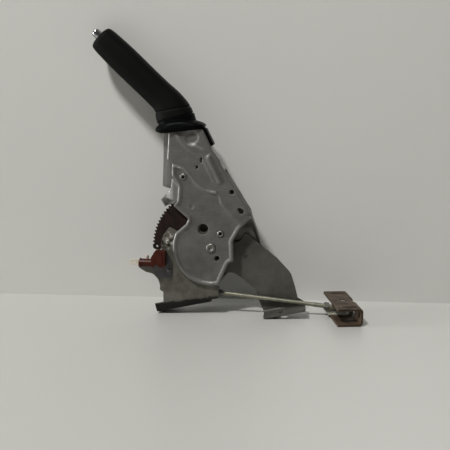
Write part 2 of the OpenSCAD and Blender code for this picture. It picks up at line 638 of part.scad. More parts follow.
module rod_clevis() color([0.42, 0.41, 0.38]) at_pivot() on_rod() difference() {
    union() {
        for (y = [-3.9, 2.3]) {
            translate([0, y, 0]) rotate([-90, 0, 0]) cylinder(r = 7, h = 1.6);
            translate([0, y, -7]) cube([16, 1.6, 14]);
        }
        translate([13.5, -3.9, -7]) cube([3, 7.8, 14]);
        translate([16, 0, 0]) rotate([0, 90, 0]) cylinder(r = 4.3, h = 6);
    }
    translate([16, 0, 0]) rotate([0, 90, 0]) cylinder(r = rod_r, h = 20);
    rotate([-90, 0, 0]) translate([0, 0, -10]) cylinder(r = 3, h = 20);
}

module clevis_pin() color([0.50, 0.50, 0.48]) at_pivot()
    turned(pin_at, [[0, -5.1], [3.8, -5.1], [4.6, -4.7], [4.6, -3.9], [3, -3.9], [3, 4], [2.4, 4],
                    [2.4, 4.7], [3, 4.7], [3, 5], [0, 5]]);

module clevis_clip() color([0.40, 0.40, 0.40]) at_pivot() on_rod() difference() {
    translate([0, 4, 0]) rotate([-90, 0, 0]) cylinder(r = 5, h = 0.7);
    translate([0, 3, 0]) rotate([-90, 0, 0]) cylinder(r = 2.4, h = 3);
    translate([-6, 3, -1.8]) cube([6, 3, 3.6]);
}

module hex_nut(s, af, h) {
    on_rod() translate([s, 0, 0]) rotate([0, 90, 0]) difference() {
        intersection() {
            rotate(30) cylinder(r = af / sqrt(3), h = h, $fn = 6);
            rotate_extrude() polygon([[0, 0], [af / 2, 0], [af / sqrt(3) + 0.1, 1],
                                      [af / sqrt(3) + 0.1, h - 1], [af / 2, h], [0, h]]);
        }
        translate([0, 0, -1]) cylinder(r = rod_r, h = h + 2);
    }
}

module jam_nut() color([0.50, 0.48, 0.42]) at_pivot() hex_nut(saddle_s - 23.5, 9, 6);
module adjuster_nut() color([0.50, 0.48, 0.42]) at_pivot() hex_nut(nut_s, 9, 5);

// The strap that bears on the nut and turns in the equalizer on two studs.
module rod_saddle() color([0.52, 0.52, 0.47]) at_pivot() difference() {
    top_in = eq_top - eq_t - 0.25;
    low_in = eq_bottom + eq_t + 0.25;
    end_x = eq_at.x - 6;
    low_x = eq_at.x - eq_w / 2 - 3;
    leg = 2;
    back = nut_s - 2.5;
    union() {
        slab(-6, 6) polygon(rounded([
            [low_x, low_in, 0], [across_rod(nut_s, low_in), low_in, 3],
            [across_rod(nut_s, top_in), top_in, 3], [end_x, top_in, 0],
            [end_x, top_in - leg, 0], [across_rod(back, top_in - leg), top_in - leg, 0.8],
            [across_rod(back, low_in + leg), low_in + leg, 0.8], [low_x, low_in + leg, 0]]));
        translate([eq_at.x, 0, top_in - 1]) cylinder(r = 4, h = eq_t);
        translate([eq_at.x, 0, low_in - eq_t]) cylinder(r = 4, h = eq_t + 1);
    }
    on_rod() translate([nut_s - 20, 0, 0]) rotate([0, 90, 0]) cylinder(r = rod_r, h = 40);
}

// A channel open toward the lever, with slots for the cable ends.
module equalizer() color([0.28, 0.22, 0.19])
    at_pivot() translate([eq_at.x, 0, 0]) rotate([0, 0, eq_turn]) difference() {
    w = eq_w / 2;
    slab(-eq_len / 2, eq_len / 2) polygon(rounded([
        [-w, eq_bottom, 0], [w, eq_bottom, 4.5], [w, eq_top, 4.5], [-w, eq_top, 0], [-w, eq_top - eq_t, 0],
        [w - eq_t, eq_top - eq_t, 1.5], [w - eq_t, eq_bottom + eq_t, 1.5], [-w, eq_bottom + eq_t, 0]]));
    translate([0, 0, -pivot_h - 1]) cylinder(r = 4 + run_gap, h = 40);
    for (side = [-1, 1]) {
        translate([-8, side * (eq_len / 2 - 10) - 2.5, eq_top - 5]) cube([19, 5, 10]);
        translate([0, side * (eq_len / 2 - 10), (eq_top + eq_bottom) / 2])
            rotate([0, 90, 0]) cylinder(r = 4, h = 30);
    }
    translate([w - eq_t - 1.5, -11, eq_bottom + eq_t + 0.5]) cube([10, 22, eq_h]);
}

front_bracket();
rear_bracket();
ratchet_sector();
sector_rivet_a();
sector_rivet_b();
sector_rivet_c();
switch_plate();
switch_body();
switch_terminal();
switch_screw_a();
switch_screw_b();
switch_plunger();
near_shell();
far_shell();
shell_eyelet();
grip();
grip_collar();
button_guide();
spring_seat();
pivot_shaft();
near_bush();
far_bush();
pull_arm();
pawl_pin();
release_button();
push_rod();
return_spring();
pawl();
pull_rod();
rod_clevis();
clevis_pin();
clevis_clip();
jam_nut();
adjuster_nut();
rod_saddle();
equalizer();
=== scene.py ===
import json
import math

import bmesh
import bpy
import numpy as np
from mathutils import Matrix, Vector
from mathutils.geometry import convex_hull_2d, delaunay_2d_cdt
from numpy.linalg import norm


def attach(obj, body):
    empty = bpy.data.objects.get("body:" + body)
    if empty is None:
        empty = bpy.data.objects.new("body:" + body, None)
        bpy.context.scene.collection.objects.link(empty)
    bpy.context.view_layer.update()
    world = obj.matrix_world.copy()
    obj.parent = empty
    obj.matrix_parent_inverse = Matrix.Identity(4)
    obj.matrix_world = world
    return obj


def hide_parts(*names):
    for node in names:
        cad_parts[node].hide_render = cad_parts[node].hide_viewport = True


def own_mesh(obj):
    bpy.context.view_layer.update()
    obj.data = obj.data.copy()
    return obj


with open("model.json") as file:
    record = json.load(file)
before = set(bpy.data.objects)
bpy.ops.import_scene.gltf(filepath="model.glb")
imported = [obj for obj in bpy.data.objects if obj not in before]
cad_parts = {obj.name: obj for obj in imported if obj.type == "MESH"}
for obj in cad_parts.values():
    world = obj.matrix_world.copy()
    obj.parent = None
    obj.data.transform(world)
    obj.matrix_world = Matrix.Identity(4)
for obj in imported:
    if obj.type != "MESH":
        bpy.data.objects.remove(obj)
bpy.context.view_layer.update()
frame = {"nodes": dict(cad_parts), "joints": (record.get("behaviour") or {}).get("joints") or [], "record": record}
scene = bpy.context.scene
MM = 0.001

# Table, wall, light and camera.
# A used lever is photographed on a pale table, its grip leaning near a pale wall, from a little above.
# The wall shows its front only, so that the lever can also be seen from behind.
CAMERA_AT = Vector((0.0786, -0.9437, 0.2716))
CAMERA_AIM = Vector((-0.004, 0.0, 0.1158))
CAMERA_LENS = 60.8
CAMERA_SENSOR = 36.0
WALL_Y = 0.078
WALL_LEAN = 0.16
TABLE_HALF = 2.0
TABLE_Z = -0.0004


def linear(red, green, blue):
    """A screen colour, 0 to 255, as the linear colour that renders to it."""
    return tuple(((c / 255 + 0.055) / 1.055) ** 2.4 for c in (red, green, blue)) + (1.0,)


def show(name, data):
    """A new object at the origin, linked to the scene."""
    made = bpy.data.objects.new(name, data)
    scene.collection.objects.link(made)
    return made


def aimed(name, data, at, aim):
    """A lamp or camera that looks from one point to another."""
    made = show(name, data)
    made.location = at
    made.rotation_euler = (Vector(aim) - Vector(at)).to_track_quat("-Z", "Y").to_euler()
    return made


def feed(tree, node, inputs):
    """Sets a node's inputs, each to a value or to another node's socket."""
    for key, value in dict(inputs).items():
        if isinstance(value, bpy.types.NodeSocket):
            tree.links.new(value, node.inputs[key])
        else:
            node.inputs[key].default_value = value


def add_node(tree, kind, inputs=(), **settings):
    """Adds a node with its settings and inputs."""
    made = tree.nodes.new(kind)
    for key, value in settings.items():
        setattr(made, key, value)
    feed(tree, made, inputs)
    return made


def put(tree, kind, inputs=(), **settings):
    """Adds a shader node by its short name."""
    return add_node(tree, "ShaderNode" + kind, inputs, **settings)


def object_coords(tree):
    return put(tree, "TexCoord").outputs["Object"]


def noise(tree, coords, scale, detail, rough=0.5):
    """A cloudy value from 0 to 1."""
    ends = {"Vector": coords, "Scale": scale, "Detail": detail, "Roughness": rough}
    return put(tree, "TexNoise", ends).outputs["Fac"]


def new_shader(name):
    """A material with a Principled shader: returns the material, its tree and the shader."""
    material = bpy.data.materials.new(name)
    material.use_nodes = True
    tree = material.node_tree
    return material, tree, tree.nodes["Principled BSDF"]


def mixed(tree, factor, low, high):
    """One colour laid over another by a factor."""
    return put(tree, "Mix", {0: factor, 6: low, 7: high}, data_type="RGBA").outputs[2]


def between(tree, value, low, high, to_low=0.0, to_high=1.0):
    """Stretches a value's range from low and high to two new ends, and clips it there."""
    ends = {"Value": value, "From Min": low, "From Max": high, "To Min": to_low, "To Max": to_high}
    return put(tree, "MapRange", ends).outputs["Result"]


def board(name, near, far, material):
    """A wide board between two lines along x, each given as y and z."""
    ends = ((-TABLE_HALF, near), (TABLE_HALF, near), (TABLE_HALF, far), (-TABLE_HALF, far))
    mesh = bpy.data.meshes.new(name)
    mesh.from_pydata([(x, *line) for x, line in ends], [], [(0, 1, 2, 3)])
    mesh.materials.append(material)
    made = show(name, mesh)
    return made


def board_paint(name, color, rough, front_only):
    material, tree, shader = new_shader(name)
    cloud = noise(tree, object_coords(tree), 3.0, 3.0)
    light = tuple(min(1.0, c * 1.04) for c in color[:3]) + (1.0,)
    dark = tuple(c * 0.97 for c in color[:3]) + (1.0,)
    feed(tree, shader, {"Base Color": mixed(tree, cloud, dark, light), "Roughness": rough})
    if front_only:
        back = put(tree, "NewGeometry").outputs["Backfacing"]
        clear = put(tree, "BsdfTransparent").outputs[0]
        shown = put(tree, "MixShader", {0: back, 1: shader.outputs[0], 2: clear})
        tree.links.new(shown.outputs[0], tree.nodes["Material Output"].inputs["Surface"])
    return material


board("table", (-TABLE_HALF, TABLE_Z), (TABLE_HALF, TABLE_Z),
      board_paint("table paint", linear(160, 160, 156), 0.38, False))
wall = board("wall", (WALL_Y, TABLE_Z), (WALL_Y - WALL_LEAN * TABLE_HALF, TABLE_HALF),
             board_paint("wall paint", linear(193, 193, 189), 0.7, True))
wall.visible_shadow = False


def lamp(name, at, aim, size, power, color):
    """A square lamp of a size in metres and a power in watts."""
    data = bpy.data.lights.new(name, "AREA")
    data.shape = "SQUARE"
    data.size = size
    data.energy = power
    data.color = color
    return aimed(name, data, at, aim)


lamp("key lamp", (-1.52, -2.88, 4.12), (0, 0, 0.12), 0.55, 306.0, (1.0, 0.985, 0.97))
window = lamp("left window", (-4.0, -0.64, 0.62), (0, 0, 0.15), 1.0, 165.0, (0.97, 0.985, 1.0))
# The window light passes the wall by, so that the wall shows only the key lamp's shadow.
passed_by = bpy.data.collections.new("passed by the window light")
passed_by.objects.link(wall)
passed_by.collection_objects[0].light_linking.link_state = "EXCLUDE"
window.light_linking.receiver_collection = passed_by
lamp("back lamp", (0.5, 1.3, 0.9), (0, 0, 0.15), 0.9, 4.0, (1.0, 0.99, 0.97))
world = bpy.data.worlds.new("room")
world.use_nodes = True
room_light = world.node_tree.nodes["Background"].inputs
room_light["Color"].default_value = linear(196, 196, 190)
room_light["Strength"].default_value = 0.14
scene.world = world

camera_data = bpy.data.cameras.new("camera")
camera_data.lens = CAMERA_LENS
camera_data.sensor_width = CAMERA_SENSOR
scene.camera = aimed("camera", camera_data, CAMERA_AT, CAMERA_AIM)
scene.view_settings.view_transform = "Standard"

# Front bracket.
# A stamped steel plate with its foot bent away from the viewer, zinc plated and gone dull, greasy round the sector
# with painted glints on the grease, rusty where the foot lay on wet carpet, and painted shade along the wall's
# lower edge.
PIVOT = Vector(next(joint["pos_m"] for joint in frame["joints"] if joint["name"] == "lever_pivot"))
EASE_ANGLE = math.radians(32)
WALL_OUT = 8.5
bodies = frame["record"]["behaviour"]["bodies"]
body_of_node = {node: body for body, nodes in bodies.items() for node in nodes}


def from_pivot(x, y, z):
    """A point given in mm from the pivot."""
    return PIVOT + Vector((x, y, z)) * MM


def reckon(tree, how, *values):
    """The result of a Math node."""
    return put(tree, "Math", dict(enumerate(values)), operation=how).outputs[0]


def new_group(name, inputs, outputs):
    """A shader node group with number inputs and outputs: the tree, its inputs and its end node."""
    tree = bpy.data.node_groups.new(name, "ShaderNodeTree")
    for label, value in inputs.items():
        tree.interface.new_socket(label, in_out="INPUT", socket_type="NodeSocketFloat").default_value = value
    for label in outputs:
        tree.interface.new_socket(label, in_out="OUTPUT", socket_type="NodeSocketFloat")
    return tree, tree.nodes.new("NodeGroupInput").outputs, tree.nodes.new("NodeGroupOutput")


def attribute(tree, name):
    return put(tree, "Attribute", attribute_name=name).outputs["Fac"]


def make_wear_and_shade_group():
    """Masks that every used metal here shows: stains, rust, scratches, bared edges, fine grain, and hollows
    darkened as dirt and painted shade.
    """
    tree, given, leave = new_group(
        "steel wear", {"Stain Scale": 40.0, "Rust Amount": 0.2, "Scratch Amount": 0.3},
        ["Stain", "Rust", "Scratch", "Edge", "Hollow", "Grain"])
    coords = object_coords(tree)
    cloud = noise(tree, coords, given["Stain Scale"], 6.0, 0.62)
    patch = noise(tree, coords, 30.0, 3.0)
    fleck = noise(tree, coords, 260.0, 8.0, 0.72)
    start = reckon(tree, "SUBTRACT", NO_RUST, given["Rust Amount"])
    stop = reckon(tree, "ADD", start, 0.14)
    lines = []
    for turn, length in ((0.5, 26.0), (-0.9, 34.0)):
        slanted = put(tree, "Mapping", {"Vector": coords, "Rotation": (0.0, turn, 0.0),
                                        "Scale": (length, 700.0, 1300.0)}).outputs[0]
        lines.append(between(tree, noise(tree, slanted, 1.0, 2.0), 0.66, 0.74))
    both = reckon(tree, "MAXIMUM", *lines)
    broken = between(tree, cloud, 0.3, 0.6, 0.35, 1.0)
    feed(tree, leave, {
        "Stain": between(tree, cloud, 0.38, 0.68),
        "Rust": between(tree, reckon(tree, "ADD", patch, fleck), start, stop),
        "Scratch": reckon(tree, "MULTIPLY", both, given["Scratch Amount"]),
        "Edge": reckon(tree, "MULTIPLY", attribute(tree, "edge"), broken),
        "Hollow": reckon(tree, "MULTIPLY", attribute(tree, "hollow"), broken),
        "Grain": noise(tree, coords, 1400.0, 4.0)})
    return tree


NO_RUST = 1.45
wear_and_shade_group = make_wear_and_shade_group()
RUST_DARK = linear(40, 25, 20)
RUST_LIGHT = linear(92, 62, 44)
DIRT_AND_SHADE = linear(38, 36, 33)


def used_steel(name, base, stained, bare, rough, metallic, rust, scratch, stain, bump=0.25, shine=0.5):
    """Used sheet or bar steel: base finish, stains, bared edges, hollows darkened as dirt and painted shade, and
    rust.
    """
    material, tree, shader = new_shader(name)
    mask = put(tree, "Group", {"Stain Scale": stain, "Rust Amount": rust, "Scratch Amount": scratch},
               node_tree=wear_and_shade_group).outputs
    bare = linear(*bare)
    rusty = mixed(tree, mask["Grain"], RUST_DARK, RUST_LIGHT)
    color = mixed(tree, mask["Stain"], linear(*base), linear(*stained))
    # Hollows darken as dirt and painted shade.
    for label, over in (("Scratch", bare), ("Edge", bare), ("Hollow", DIRT_AND_SHADE), ("Rust", rusty)):
        color = mixed(tree, mask[label], color, over)
    dull = between(tree, mask["Stain"], 0.0, 1.0, rough, min(1.0, rough + 0.14))
    lift = reckon(tree, "ADD", mask["Rust"], mask["Grain"])
    uneven = put(tree, "Bump", {"Height": lift, "Strength": bump, "Distance": 0.0004})
    feed(tree, shader, {
        "Base Color": color, "Roughness": reckon(tree, "MAXIMUM", dull, mask["Rust"]),
        "Metallic": between(tree, mask["Rust"], 0.0, 1.0, metallic, 0.0),
        "Normal": uneven.outputs[0], "Specular IOR Level": shine})
    return material


def link_piece(name, mesh, material, slot, *nodes):
    """Makes a mesh a finished piece that stands for these nodes and rides on their body.

    The slot argument is not used.
    """
    slot = slot or material.name.replace(" ", "_")
    mesh.materials.clear()
    mesh.materials.append(material)
    made = show(name, mesh)
    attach(made, body_of_node[nodes[0]])
    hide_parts(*nodes)
    return made


def to_mesh(name, work, angle=EASE_ANGLE):
    """Turns a bmesh into a shaded mesh."""
    mesh = bpy.data.meshes.new(name)
    work.to_mesh(mesh)
    work.free()
    mesh.shade_smooth()
    mesh.set_sharp_from_angle(angle=angle)
    return mesh


def ease_edges(work, width):
    """Rounds the sharp edges, as stamping and handling leave them, and marks them as worn."""
    sharp = [edge for edge in work.edges
             if len(edge.link_faces) == 2 and edge.calc_face_angle() > EASE_ANGLE]
    mark = work.loops.layers.float.get("edge") or work.loops.layers.float.new("edge")
    made = bmesh.ops.bevel(work, geom=sharp, offset=width * MM, offset_type="OFFSET", segments=2,
                           profile=0.5, affect="EDGES", clamp_overlap=True)
    for face in made["faces"]:
        for loop in face.loops:
            loop[mark] = 1.0
    bmesh.ops.triangulate(work, faces=[face for face in work.faces if len(face.verts) > 4])


def plain_mesh(holder):
    """An object's mesh with its modifiers worked in; the object itself is removed."""
    view = bpy.context.evaluated_depsgraph_get()
    made = bpy.data.meshes.new_from_object(holder.evaluated_get(view), depsgraph=view)
    bpy.data.objects.remove(holder)
    return made


def evened(mesh):
    """The same mesh with its shading led by the large flat faces."""
    holder = show(mesh.name + " holder", mesh)
    modifier = holder.modifiers.new("even", "WEIGHTED_NORMAL")
    modifier.keep_sharp = True
    return plain_mesh(holder)


def eased(node, width, material, slot=None):
    """A copy of a construction piece with its sharp edges rounded."""
    work = bmesh.new()
    work.from_mesh(frame["nodes"][node].data)
    bmesh.ops.remove_doubles(work, verts=work.verts, dist=2e-6)
    bmesh.ops.dissolve_limit(work, angle_limit=math.radians(0.5), verts=work.verts, edges=work.edges)
    ease_edges(work, width)
    link_piece(node + "_finished", evened(to_mesh(node, work)), material, slot, node)


bracket_steel = used_steel("bracket steel", (100, 98, 90), (70, 67, 59), (146, 144, 135),
                           0.46, 0.75, rust=0.22, scratch=0.35, stain=55.0)
# The dark band along the wall's lower edge is painted shade.
PAINTED_SHADE_LINE = ((-62.6, -72.4), (9.8, -62.5))
PAINTED_SHADE_HIGH = 0.0025
PAINTED_SHADE = linear(15, 14, 13)
# Round this point lie grease blotches and painted glints.
GREASE_AND_GLINT_AT = (-55.0, 8.0)
PAINTED_GLINT = linear(168, 164, 156)


def grease_and_painted_light(material):
    """Painted shade along the wall's lower edge, and smeared grease with painted glints on the lobe by the sector.
    """
    tree = material.node_tree
    shader = tree.nodes["Principled BSDF"]
    clean = shader.inputs["Base Color"].links[0].from_socket
    coords = object_coords(tree)
    # Painted shade: a near-black band along the wall's lower edge, made wavy with noise.
    first, last = (from_pivot(x, 0, z) for x, z in PAINTED_SHADE_LINE)
    up = Vector((first.z - last.z, 0, last.x - first.x)).normalized()
    level = put(tree, "VectorMath", {0: coords, 1: up}, operation="DOT_PRODUCT").outputs["Value"]
    wavy = reckon(tree, "MULTIPLY_ADD", noise(tree, coords, 130.0, 4.0), 0.005, level)
    rest = first.dot(up) + PAINTED_SHADE_HIGH
    painted_shade_mask = between(tree, wavy, rest + 0.0012, rest - 0.0016, 0.0, 0.93)
    lobe = from_pivot(GREASE_AND_GLINT_AT[0], -WALL_OUT, GREASE_AND_GLINT_AT[1])
    reach = put(tree, "VectorMath", {0: coords, 1: lobe}, operation="DISTANCE").outputs["Value"]
    near = between(tree, reach, 0.014, 0.007)
    smear = noise(tree, coords, 210.0, 3.0)
    # Painted glints: pale flecks among the dark grease blotches.
    painted_glint = reckon(tree, "MULTIPLY", near, between(tree, smear, 0.54, 0.6))
    black = reckon(tree, "MULTIPLY", near, between(tree, smear, 0.45, 0.39))
    color = mixed(tree, painted_glint, clean, PAINTED_GLINT)
    color = mixed(tree, black, color, DIRT_AND_SHADE)
    tree.links.new(mixed(tree, painted_shade_mask, color, PAINTED_SHADE), shader.inputs["Base Color"])


grease_and_painted_light(bracket_steel)
eased("front_bracket", 0.35, bracket_steel)

# Rear bracket.
# The darker plate behind, with an arch over the pull rod and a foot bent toward the viewer.
# Its lower edge stands on the front plate's foot.
arm_steel = used_steel("arm steel", (88, 86, 80), (68, 66, 61), (125, 123, 115),
                       0.52, 0.7, rust=0.18, scratch=0.25, stain=30.0)
eased("rear_bracket", 0.35, arm_steel)

# Ratchet sector and its rivets.
# A toothed steel plate riveted inside the front bracket; bare steel gone dark brown with rust.
# The three rivet heads sit in sunk holes, so that the lever's shell passes over them.
SECTOR_IN = 2.5
RIVET_AT = ((-55, 6), (-33, 17), (-20, 40))
RIVET_R = 2.5
RIVET_HEAD_R = 3.8
RIVET_SINK = 1.0
TURN_ACROSS = Matrix.Rotation(-math.pi / 2, 4, "X")
rusty_steel = used_steel("rusty steel", (34, 22, 17), (20, 14, 12), (50, 38, 32),
                         0.7, 0.2, rust=0.24, scratch=0.15, stain=90.0, bump=0.5, shine=0.12)
eased("ratchet_sector", 0.2, rusty_steel)


def softened(profile, rounds):
    """Cuts the corners of an open line, so that a turned piece has rounded edges."""
    line = [np.array(point, float) for point in profile]
    for _ in range(rounds):
        cut = [line[0]]
        for one, two in zip(line, line[1:]):
            cut += [one * 0.78 + two * 0.22, one * 0.22 + two * 0.78]
        line = cut + [line[-1]]
    return line


def lathe(work, profile, place, around):
    """Adds a turned piece: a profile of radius and run in mm, from axis to axis or closed on itself."""
    rings = []
    angles = [2 * math.pi * k / around for k in range(around)]
    for radius, run in profile:
        spots = [(radius * math.cos(a), radius * math.sin(a), run) for a in angles]
        if radius < 1e-4:
            spots = [(0, 0, run)]
        rings.append([work.verts.new(place @ (Vector(spot) * MM)) for spot in spots])
    if len(rings[0]) > 1:
        rings.append(rings[0])
    faces = []
    for low, high in zip(rings, rings[1:]):
        for k in range(around):
            ring = [low[k % len(low)], low[(k + 1) % len(low)],
                    high[(k + 1) % len(high)], high[k % len(high)]]
            faces.append(work.faces.new(list(dict.fromkeys(ring))))
    bmesh.ops.recalc_face_normals(work, faces=faces)


def across(x, height):
    """Places a turned piece across the lever plane; its run is then y."""
    return Matrix.Translation(from_pivot(x, 0, height)) @ TURN_ACROSS


def turned(profile, place, rounds=1, around=40):
    """A turned piece with rounded edges, as a bmesh."""
    work = bmesh.new()
    lathe(work, softened(profile, rounds), place, around)
    return work


def geometry_tree(name, inputs):
    """A Geometry Nodes tree with named inputs: returns the tree and its input sockets."""
    tree = bpy.data.node_groups.new(name, "GeometryNodeTree")
    tree.interface.new_socket("Geometry", in_out="INPUT", socket_type="NodeSocketGeometry")
    for label, kind in inputs.items():
        tree.interface.new_socket(label, in_out="INPUT", socket_type="NodeSocket" + kind)
    tree.interface.new_socket("Geometry", in_out="OUTPUT", socket_type="NodeSocketGeometry")
    return tree, tree.nodes.new("NodeGroupInput").outputs


def grow(tree, kind, inputs=()):
    """Adds a geometry node by its short name and returns its first output."""
    return add_node(tree, "GeometryNode" + kind, inputs).outputs[0]


def end_tree(tree, geometry, material):
    """Ends a tree in plain geometry with its finish."""
    real = grow(tree, "RealizeInstances", {0: geometry})
    done = grow(tree, "SetMaterial", {"Geometry": real, "Material": material})
    tree.links.new(done, tree.nodes.new("NodeGroupOutput").inputs[0])


def run_tree(name, tree, start, values):
    """Runs a tree on a start mesh with its named inputs set, and returns the plain mesh."""
    holder = show(name + " maker", start)
    modifier = holder.modifiers.new("tree", "NODES")
    modifier.node_group = tree
    for item in tree.interface.items_tree:
        if item.in_out == "INPUT" and item.name in values:
            modifier[item.identifier] = values[item.name]
    mesh = plain_mesh(holder)
    mesh.name = name
    return mesh


def make_heads_tree():
    """One turned head on each point, each spun a little differently."""
    tree, given = geometry_tree("heads on points", {"Head": "Object", "Spin": "Float", "Finish": "Material"})
    head = add_node(tree, "GeometryNodeObjectInfo", {"Object": given["Head"]}).outputs["Geometry"]
    spin = reckon(tree, "MULTIPLY", grow(tree, "InputIndex"), given["Spin"])
    turn = put(tree, "CombineXYZ", {"Y": spin}).outputs[0]
    placed = grow(tree, "InstanceOnPoints", {"Points": given["Geometry"], "Instance": head,
                                             "Rotation": turn})
    end_tree(tree, placed, given["Finish"])
    return tree


heads_tree = make_heads_tree()


def heads(name, work, points, material, slot, *nodes):
    """Sets one head, modelled about the pivot plane's origin, at each point of the lever plane."""
    model = bpy.data.objects.new(name + " model", to_mesh(name + " model", work))
    start = bpy.data.meshes.new(name + " points")
    start.from_pydata([from_pivot(x, 0, z) for x, z in points], [], [])
    mesh = run_tree(name, heads_tree, start, {"Head": model, "Spin": 0.7, "Finish": material})
    bpy.data.objects.remove(model)
    mesh.set_sharp_from_angle(angle=EASE_ANGLE)
    link_piece(name, mesh, material, slot, *nodes)


bright_steel = used_steel("bright steel", (106, 104, 100), (82, 80, 76), (146, 144, 139),
                          0.42, 0.8, rust=0.16, scratch=0.3, stain=120.0)
rivet_seat = -WALL_OUT + RIVET_SINK
rivet_work = turned([
    (0, rivet_seat - 1.2), (2.4, rivet_seat - 1), (RIVET_HEAD_R, rivet_seat - 0.2),
    (RIVET_HEAD_R, rivet_seat), (RIVET_R, rivet_seat), (RIVET_R, -SECTOR_IN), (0, -SECTOR_IN)], TURN_ACROSS)
heads("sector_rivets", rivet_work, RIVET_AT, bracket_steel, "bright_steel",
      "sector_rivet_a", "sector_rivet_b", "sector_rivet_c")

# Warning switch.
# A brown phenolic body screwed to a dark plated plate on the front bracket, with a tinned blade
# for its wire and a grey plunger that the lever's tab presses.
SWITCH_Y = 10.5
SCREW_AT = ((-68, -24), (-53, -30))
SCREW_R = 1.5
SCREW_HEAD_R = 3.1
SCREW_END = -4.8


def make_speckle_group():
    """Fine grain and cloudy tone of a moulded surface."""
    tree, given, leave = new_group("moulded tone", {"Grain Scale": 900.0, "Cloud Scale": 40.0},
                                   ["Grain", "Cloud"])
    coords = object_coords(tree)
    grain = noise(tree, coords, given["Grain Scale"], 4.0, 0.6)
    cloud = noise(tree, coords, given["Cloud Scale"], 5.0)
    feed(tree, leave, {"Grain": between(tree, grain, 0.3, 0.7), "Cloud": between(tree, cloud, 0.35, 0.68)})
    return tree


speckle_group = make_speckle_group()


def moulded(name, base, worn, rough, rough_worn, grain_scale=900.0, cloud_scale=40.0, bump=0.2, depth=0.0002,
            shine=0.5):
    """A moulded finish: cloudy tone, fine grain and paler worn edges."""
    material, tree, shader = new_shader(name)
    base, worn = linear(*base), linear(*worn)
    tone = put(tree, "Group", {"Grain Scale": grain_scale, "Cloud Scale": cloud_scale},
               node_tree=speckle_group).outputs
    color = mixed(tree, tone["Cloud"], base, mixed(tree, 0.5, base, worn))
    shown = reckon(tree, "MULTIPLY", attribute(tree, "edge"), tone["Cloud"])
    uneven = put(tree, "Bump", {"Height": tone["Grain"], "Strength": bump, "Distance": depth})
    feed(tree, shader, {
        "Base Color": mixed(tree, shown, color, worn),
        "Roughness": between(tree, tone["Cloud"], 0.0, 1.0, rough, rough_worn),
        "Normal": uneven.outputs[0], "Specular IOR Level": shine})
    return material


dark_steel = used_steel("dark steel", (84, 80, 82), (66, 62, 64), (120, 116, 114),
                        0.42, 0.7, rust=0.2, scratch=0.25, stain=70.0)
switch_brown = moulded("switch brown", (47, 16, 7), (63, 26, 13), 0.3, 0.44, 700.0, 160.0, 0.12,
                       shine=0.15)
terminal_tin = used_steel("terminal tin", (206, 200, 184), (178, 170, 152), (226, 222, 210),
                          0.4, 0.6, rust=0.1, scratch=0.2, stain=150.0)
plunger_grey = moulded("plunger grey", (132, 122, 114), (150, 140, 132), 0.4, 0.5,
                       1200.0, 80.0, 0.1)
eased("switch_plate", 0.3, dark_steel)
eased("switch_body", 0.7, switch_brown)
eased("switch_terminal", 0.15, terminal_tin)
eased("switch_plunger", 0.2, plunger_grey, "plunger_white")
screw_work = turned([
    (0, -SWITCH_Y - 2.2), (2, -SWITCH_Y - 2.1), (SCREW_HEAD_R, -SWITCH_Y - 1), (SCREW_HEAD_R, -SWITCH_Y),
    (SCREW_R, -SWITCH_Y), (SCREW_R, SCREW_END), (0, SCREW_END)], TURN_ACROSS)
heads("switch_screws", screw_work, SCREW_AT, dark_steel, "bright_steel", "switch_screw_a", "switch_screw_b")

# Pivot shaft, bushes and pull arm.
# A turned shaft carries the shells, its ends riveted over; two bronze-grey bushes keep the shells off
# the bracket, and a short arm pressed on the shaft draws the pull rod.
BASE_Y = 12.6
BASE_IN = 11.0
PIVOT_R = 6.0
NECK_R = 4.5


def finish_piece(node, work, material, slot=None, angle=EASE_ANGLE):
    """Makes a bmesh the finished piece of one node."""
    link_piece(node + "_finished", to_mesh(node, work, angle), material, slot, node)


finish_piece("pivot_shaft", turned([
    (0, -BASE_Y - 0.9), (1.7, -BASE_Y - 0.9), (2.5, -BASE_Y - 1.9), (4.6, -BASE_Y - 2.2),
    (PIVOT_R - 0.3, -BASE_Y - 1.5), (PIVOT_R + 0.4, -BASE_Y - 0.5), (PIVOT_R + 0.4, -BASE_Y),
    (NECK_R, -BASE_Y), (NECK_R, -BASE_IN), (PIVOT_R, -BASE_IN), (PIVOT_R, BASE_IN), (NECK_R, BASE_IN),
    (NECK_R, BASE_Y), (PIVOT_R + 0.4, BASE_Y), (PIVOT_R + 0.4, BASE_Y + 0.5), (PIVOT_R - 0.3, BASE_Y + 1.5),
    (0, BASE_Y + 1.9)], across(0, 0), around=56), bright_steel)
for bush in ("near_bush", "far_bush"):
    eased(bush, 0.2, bright_steel)
eased("pull_arm", 0.3, arm_steel)

# Lever shells.
# Two pressed steel sheets, grey and slightly greasy, welded along a seam flange on the front edge;
# steps, a bead, a rolled rim and a dish stiffen them, and their tang goes up into the grip.
SHEET = 1.6
STEP = 1.4
RIM_HIGH = 1.2
BEND_R = 2.4
DISC_R = 48.5
TANG_A = 9.0
DEEP_R = 100.0
EDGE_STEP = 1.3
EDGE_RINGS = (0.25, 0.7, 1.3, 2.0, 2.9)
HOLE_STEP = 0.9
HOLE_RINGS = (0.35, 0.9, 1.5)
GRID_X = 1.45
GRID_Z = 1.255
GRID_IN = 3.7
HOLE_CLEAR = 1.9
GRIP_TIP = np.array((-137.2, 260.1))
GRIP_HEAD = -43.7
GRIP_RUN = 107.2
GRIP_BEND_R = 46.0
GRIP_BEND = 40.0
GRIP_BEND_LEN = math.radians(GRIP_BEND) * GRIP_BEND_R


def ray(degrees):
    return np.array((math.cos(math.radians(degrees)), math.sin(math.radians(degrees))))


